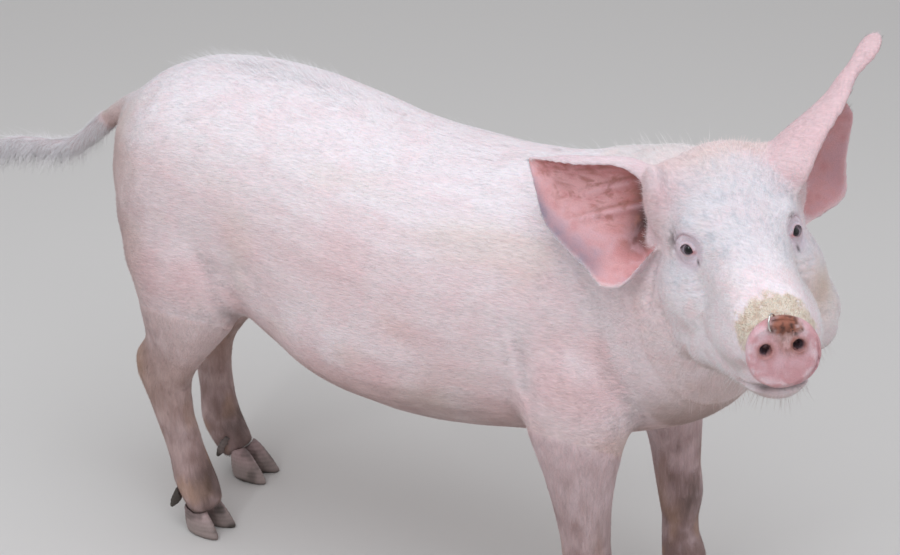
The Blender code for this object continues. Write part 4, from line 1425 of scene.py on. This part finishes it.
class PigColours(bpy.types.PropertyGroup):
    white: colour_setting("White", "Bristles of the back and the face", 244, 240, 244)
    cream: colour_setting("Cream", "Bristles of the hams and the neck", 228, 213, 200)
    # Painted cool shade of the sky on the coat where it faces up
    sky_shade: colour_setting("Cool", "Grey cast on brow and rump", 200, 203, 210)
    pink: colour_setting("Pink", "Skin of the body", 236, 196, 200)
    lilac: colour_setting("Lilac", "Skin of the eyelids", 218, 206, 216)
    ear: colour_setting("Ear", "Skin inside the ears", 228, 176, 178)
    raw: colour_setting("Raw", "Reddest skin", 196, 116, 114)
    # Disc also serves as painted highlight on the ears' ridges
    disc: colour_setting("Disc", "Skin of the snout", 226, 184, 192)
    # Soil also serves as painted shade on the legs, the belly, the hams and the throat
    soil_and_shade: colour_setting("Soil", "Dirt on the legs", 146, 120, 116)
    # Mud also serves as painted shadow under the disc and behind the right eye
    mud_and_shade: colour_setting("Mud", "Darkest dirt", 74, 60, 54)
    tan: colour_setting("Tan", "Stain at the hocks", 190, 152, 126)
    # Rust also serves as painted shade in the ears' furrows
    rust: colour_setting("Rust", "Mud on the snout", 158, 100, 82)
    bran: colour_setting("Bran", "Dust on the muzzle", 236, 224, 204)
    nostril_shade: colour_setting("Nostril", "Inside of the nostrils", 74, 58, 66)
    slate: colour_setting("Slate", "Lower margin of the ear", 122, 120, 138)
    # Dark also serves as painted shade in the eyes' slits, along the mouth and at the ears' roots
    dark: colour_setting("Dark", "Lid edges, creases and grit", 52, 38, 38)
    pupil: colour_setting("Pupil", "Pupil of the eye", 8, 7, 8)
    iris: colour_setting("Iris", "Iris of the eye", 96, 82, 92)
    iris_dark: colour_setting("Iris edge", "Edge of the iris", 42, 34, 40)
    eye_white: colour_setting("Eye white", "White of the eye", 170, 156, 166)
    horn: colour_setting("Horn", "Hooves", 152, 136, 132)
    horn_dark: colour_setting("Dark horn", "Edges of the hooves", 62, 54, 48)
    steel: colour_setting("Steel", "Nose ring", 214, 212, 208)
    floor: colour_setting("Floor", "Floor", 212, 210, 207)


class PigCoatSettings(bpy.types.PropertyGroup):
    draft_share: number_setting("Draft share", "Share grown for a quick look", 0.5)
    lightness: number_setting("Lightness", "Lightness of the bristles", 1.04)
    body_length: length_setting("Body bristles", "Length on the body", 0.0125)
    face_length: length_setting("Face bristles", "Length on the face", 0.0075)
    leg_length: length_setting("Leg bristles", "Length on the legs", 0.0085)
    crest_length: length_setting("Crest bristles", "Length along the back", 0.026)
    width: length_setting("Bristle width", "Width at the root", 0.00050)


class PigPartSettings(bpy.types.PropertyGroup):
    iris_radius: length_setting("Iris radius", "Radius of the iris", 0.0062)
    ring_radius: length_setting("Ring radius", "Radius of the nose ring", 0.0098)
    ring_wire: length_setting("Ring wire", "Radius of the ring's wire", 0.0013)
    hoof_cell: length_setting("Hoof cell", "Size of the cells a hoof is fused in", 0.0016)
    growth_step: length_setting("Growth step", "Distance between a hoof's growth rings", 0.0062)


class PigStageSettings(bpy.types.PropertyGroup):
    lens: number_setting("Lens", "Focal length", 76.0, unit="CAMERA")
    camera: bpy.props.FloatVectorProperty(
        name="Camera", description="Place of the camera from the eyes",
        default=(0.6821, -1.8313, 0.8936), subtype="XYZ",
    )
    azimuth: number_setting(
        "Azimuth", "Camera's turn around the pig", math.radians(30), subtype="ANGLE")
    elevation: number_setting(
        "Elevation", "How far it looks down", math.radians(26), subtype="ANGLE")
    floor_size: length_setting("Floor size", "Side of the floor", 30.0)
    sky: number_setting("Sky", "Strength of the light from all around", 0.58)
    key: number_setting("Key light", "Power of the main light", 54.0, unit="POWER")
    fill: number_setting("Fill light", "Power of the side light", 6.0, unit="POWER")
    glint: number_setting("Glint", "Power of the small front light", 6.0, unit="POWER")


# ---- One operator for each piece or group of like pieces


def finish_piece(piece, material, slot, *nodes):
    """Gives a piece its material and ties it to the part, in place of the nodes it covers."""
    piece.data.materials.clear()
    piece.data.materials.append(material)
    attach(piece, "root")
    if nodes:
        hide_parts(*nodes)


class PIG_OT_skin(bpy.types.Operator):
    """Fuses all the flesh into one skin and gives it its folds, lids, nostrils and markings"""

    bl_idname = "pig.skin"
    bl_label = "Skin"

    def execute(self, context):
        scene = context.scene
        skin = build_skin(scene.pig_skin)
        mesh = skin.data
        weights = by_name(*final_shares(skin))
        marks = Markings(points_of(mesh), normals_of(mesh), weights, scene.pig_colours)
        legs = marks.front + marks.rear + weights["tail"]
        head = weights["head"] + weights["ear_right"] + weights["ear_left"]
        store(mesh, "Tint", marks.skin)
        store(mesh, "HairTint", marks.hair)
        store(mesh, "Bare", marks.bare)
        store(mesh, "Bran", marks.bran)
        store(mesh, "Zone", np.clip(np.stack([legs, head, marks.bare], 1), 0, 1))
        only(skin)
        bpy.ops.object.shade_smooth()
        finish_piece(skin, skin_material(scene.pig_skin), "skin", *FLESH)
        return {"FINISHED"}


class PIG_OT_coat(bpy.types.Operator):
    """Grows the bristles, lying along the body and standing where they break its outline"""

    bl_idname = "pig.coat"
    bl_label = "Coat"

    def execute(self, context):
        settings = context.scene.pig_coat
        hide = Hide(bpy.data.objects["skin"])
        x, y, z = hide.middles.T
        up = hide.facing[:, 2]
        right = (y < TRUNK_MIDDLE).astype(float)
        trunk, neck, face = hide.weight("trunk"), hide.weight("neck"), hide.weight("head")
        front = hide.weight("leg_front_right", "leg_front_left")
        rear = hide.weight("leg_rear_right", "leg_rear_left")
        ears, tail = hide.weight("ear_right", "ear_left"), hide.weight("tail")
        hx, _, hz = in_head(hide.middles).T
        body, short, leg = settings.body_length, settings.face_length, settings.leg_length
        long, wide = settings.crest_length, settings.width
        muzzle = face * (0.35 + 0.65 * ramp(hx, 0.13, 0.10))
        crest = bell(y - 0.075, 0.030) * ramp(up, 0.75, 0.95) * (0.12 + 1.5 * bell(x + 0.15, 0.09))
        poll = face * ramp(hx, -0.03, -0.07) * ramp(hz, 0.02, 0.05)
        chin = face * ramp(hz, -0.10, -0.16) * ramp(up, 0.1, -0.5)
        tail_foot = z[tail > 0.5].min()
        low_tail = tail * ramp(z, tail_foot + 0.12, tail_foot)
        fore = ramp(x, -0.05, 0.0)
        # Name, how many, where, how long, how wide, lift and sag
        straight = (
            ("right_fore", 48000, trunk * right * fore, body, wide, 0.060, 0.03),
            ("right_rear", 48000, trunk * right * (1 - fore), body, wide, 0.060, 0.03),
            ("left", 46000, trunk * (1 - right), body, wide, 0.060, 0.03),
            ("neck", 36000, neck, body * 0.95, wide, 0.085, 0.03),
            ("head", 46000, muzzle, short * 1.15, wide * 0.72, 0.16, 0.02),
            ("ears", 18000, ears, short * 0.9, wide * 0.6, 0.14, 0.02),
            ("fore_legs", 34000, front, leg, wide * 0.8, 0.11, 0.02),
            ("rear_legs", 44000, rear, leg * 1.1, wide * 0.85, 0.11, 0.02),
        )
        bent = (
            ("tail", 6500, tail, leg * 1.6, wide * 0.8, 0.24, 0.06),
            ("crest", 900, (trunk + neck) * crest, long, wide * 0.8, 0.62, 0.16),
            ("poll", 900, poll, long * 0.7, wide * 0.65, 0.5, 0.35),
            ("chin", 500, chin, long * 0.9, wide * 0.6, 1.0, 0.1),
            ("tail_fringe", 2000, low_tail, long * 1.3, wide * 0.7, 0.36, 0.05),
        )
        material = coat_material()
        for seed, (name, *sizes) in enumerate(straight + bent, 1):
            way = CHIN_WAY if name == "chin" else None
            name = "coat_" + name
            piece = grow(hide, settings, seed, name, *sizes, seed > len(straight), way)
            finish_piece(piece, material, "skin")
        return {"FINISHED"}


class PIG_OT_eyes(bpy.types.Operator):
    """Sets the eyeballs in their sockets, with iris, pupil and a raised cornea"""

    bl_idname = "pig.eyes"
    bl_label = "Eyes"

    def execute(self, context):
        settings = context.scene.pig_parts
        material = eye_material(context.scene.pig_colours)
        for side, word in SIDES:
            gaze = sideways_from_head(GAZE, side)
            eye = sphere(72, 48, EYE_RADIUS - EYE_CLEARANCE)
            eye.name = "eyeball_" + word
            turn = gaze.to_track_quat("Z", "Y").to_matrix().to_4x4()
            points = points_of(eye.data)
            reach = np.hypot(points[:, 0], points[:, 1])
            cap = ramp(reach, settings.iris_radius * 1.15, settings.iris_radius * 0.4)
            points[:, 2] += CORNEA_RISE * cap * (points[:, 2] > 0)
            angle = np.arctan2(reach, points[:, 2])
            edge = math.asin(settings.iris_radius / EYE_RADIUS)
            store(eye.data, "Polar", np.clip(angle / edge * 0.5, 0, 1))
            put_points(eye.data, points)
            eye.data.transform(Matrix.Translation(EYES[side]) @ turn)
            only(eye)
            bpy.ops.object.shade_smooth()
            finish_piece(eye, material, "eyeball", "eye_" + word)
        return {"FINISHED"}


class PIG_OT_hooves(bpy.types.Operator):
    """Rounds the hooves and dewclaws and gives them growth rings and worn edges"""

    bl_idname = "pig.hooves"
    bl_label = "Hooves"

    def execute(self, context):
        settings, colours = context.scene.pig_parts, context.scene.pig_colours
        material = horn_material()
        nodes = sorted(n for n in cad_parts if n.startswith(("hoof_", "dewclaw_")))
        for number, node in enumerate(nodes):
            horn = copy_of(node)
            horn.name = "horn_" + node
            hoof = node.startswith("hoof")
            cell = settings.hoof_cell * (1.0 if hoof else 0.8)
            modified(horn, "REMESH", mode="VOXEL", voxel_size=cell)
            modified(horn, "SMOOTH", factor=0.5, iterations=4)
            bottom, top = (corner[2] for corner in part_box(node))
            points, normals = points_of(horn.data), normals_of(horn.data)
            height = points[:, 2] - bottom
            share = height / (top - bottom)
            wavy = height + GROWTH_WANDER * cloud(points, 0.012, 31)
            wave = np.sin(2 * math.pi * wavy / settings.growth_step)
            wave *= ramp(np.abs(normals[:, 2]), 0.9, 0.5) * ramp(height, 0.003, 0.008)
            points += normals * (GROWTH_HEIGHT * wave)[:, None]
            points[:, 2] = np.maximum(points[:, 2], bottom)
            put_points(horn.data, points)
            shade = 0.45 * ramp(height, 0.008, 0.001) + 0.20 * ramp(share, 0.60, 1.0)
            shade += 0.60 * ramp(cloud(points, 0.016, 32 + number), 0.35, 0.75) + 0.06 * wave
            shade += 0.25 * (number % 2) + 0.5 * (not hoof)
            base = np.tile(np.array(colours.horn[:3]), (len(points), 1))
            base = over(base, colours.pink, ramp(share, 0.35, 1.0) * 0.35 * hoof)
            store(horn.data, "Tint", over(base, colours.horn_dark, shade))
            only(horn)
            bpy.ops.object.shade_smooth_by_angle(angle=math.radians(50))
            finish_piece(horn, material, "horn", node)
        return {"FINISHED"}


class PIG_OT_ring(bpy.types.Operator):
    """Smooths the steel wire ring that runs through the top of the snout"""

    bl_idname = "pig.ring"
    bl_label = "Nose ring"

    def execute(self, context):
        ring = copy_of("nose_ring")
        ring.name = "ring"
        modified(ring, "SUBSURF", levels=2, render_levels=2)
        bpy.ops.object.shade_smooth()
        colour = context.scene.pig_colours.steel
        steel = plain_material("Nose ring steel", colour, Metallic=1.0, Roughness=0.24)
        finish_piece(ring, steel, "steel", "nose_ring")
        return {"FINISHED"}


class PIG_OT_stage(bpy.types.Operator):
    """Lays the floor and sets the lights and the camera"""

    bl_idname = "pig.stage"
    bl_label = "Stage"

    def execute(self, context):
        scene, settings = context.scene, context.scene.pig_stage
        deselect()
        bpy.ops.mesh.primitive_plane_add(size=settings.floor_size, location=(0, 0, -FLOOR_GAP))
        floor = bpy.context.object
        floor.name = "floor"
        pale = plain_material("Pale floor", scene.pig_colours.floor, Roughness=0.9)
        floor.data.materials.append(pale)
        world = bpy.data.worlds.new("Studio")
        world.use_nodes = True
        sky = world.node_tree.nodes["Background"]
        sky.inputs["Color"].default_value = (0.97, 0.97, 1.0, 1)
        sky.inputs["Strength"].default_value = settings.sky
        scene.world = world
        scene.view_settings.view_transform = "Standard"
        target = Vector((0.05, 0.0, 0.40))
        for name, place, power, size, colour in (
            ("key", (0.5, -0.9, 3.2), settings.key, 3.0, (0.90, 0.94, 1.0)),
            ("fill", (3.2, 1.2, 1.8), settings.fill, 2.5, (0.94, 0.97, 1.0)),
            ("glint", (-0.13, -2.17, 1.97), settings.glint, 0.35, (0.94, 0.97, 1.0)),
        ):
            lamp = bpy.data.lights.new(name, "AREA")
            lamp.energy, lamp.size, lamp.color = power, size, colour
            light = bpy.data.objects.new(name, lamp)
            light.location = place
            light.rotation_euler = (target - Vector(place)).to_track_quat("-Z", "Y").to_euler()
            scene.collection.objects.link(light)
        lens = bpy.data.cameras.new("camera")
        lens.lens, lens.sensor_width = settings.lens, 36.0
        camera = bpy.data.objects.new("camera", lens)
        around, above = settings.azimuth, settings.elevation
        back = Vector((
            math.sin(around) * math.cos(above), -math.cos(around) * math.cos(above), math.sin(above)
        ))
        camera.location = (EYES[-1] + EYES[1]) / 2 + Vector(settings.camera)
        camera.rotation_euler = (-back).to_track_quat("-Z", "Y").to_euler()
        scene.collection.objects.link(camera)
        scene.camera = camera
        return {"FINISHED"}


OPERATORS = (PIG_OT_skin, PIG_OT_coat, PIG_OT_eyes, PIG_OT_hooves, PIG_OT_ring, PIG_OT_stage)
GROUPS = {
    "pig_skin": PigSkinSettings,
    "pig_colours": PigColours,
    "pig_coat": PigCoatSettings,
    "pig_parts": PigPartSettings,
    "pig_stage": PigStageSettings,
}


class PIG_PT_parts(bpy.types.Panel):
    bl_label = "White farm pig"
    bl_idname = "PIG_PT_parts"
    bl_space_type = "VIEW_3D"
    bl_region_type = "UI"
    bl_category = "Pig"

    def draw(self, context):
        for operator in OPERATORS:
            self.layout.operator(operator.bl_idname)
        for name in GROUPS:
            box = self.layout.box()
            for key in GROUPS[name].__annotations__:
                box.prop(getattr(context.scene, name), key)


def register():
    for group in GROUPS.values():
        bpy.utils.register_class(group)
    for name, group in GROUPS.items():
        setattr(bpy.types.Scene, name, bpy.props.PointerProperty(type=group))
    for operator in OPERATORS:
        bpy.utils.register_class(operator)
    bpy.utils.register_class(PIG_PT_parts)


def unregister():
    bpy.utils.unregister_class(PIG_PT_parts)
    for operator in reversed(OPERATORS):
        bpy.utils.unregister_class(operator)
    for name in GROUPS:
        delattr(bpy.types.Scene, name)
    for group in reversed(GROUPS.values()):
        bpy.utils.unregister_class(group)


def main():
    register()
    bpy.ops.pig.skin()
    bpy.ops.pig.coat()
    bpy.ops.pig.eyes()
    bpy.ops.pig.hooves()
    bpy.ops.pig.ring()
    bpy.ops.pig.stage()


if __name__ == "__main__":
    main()
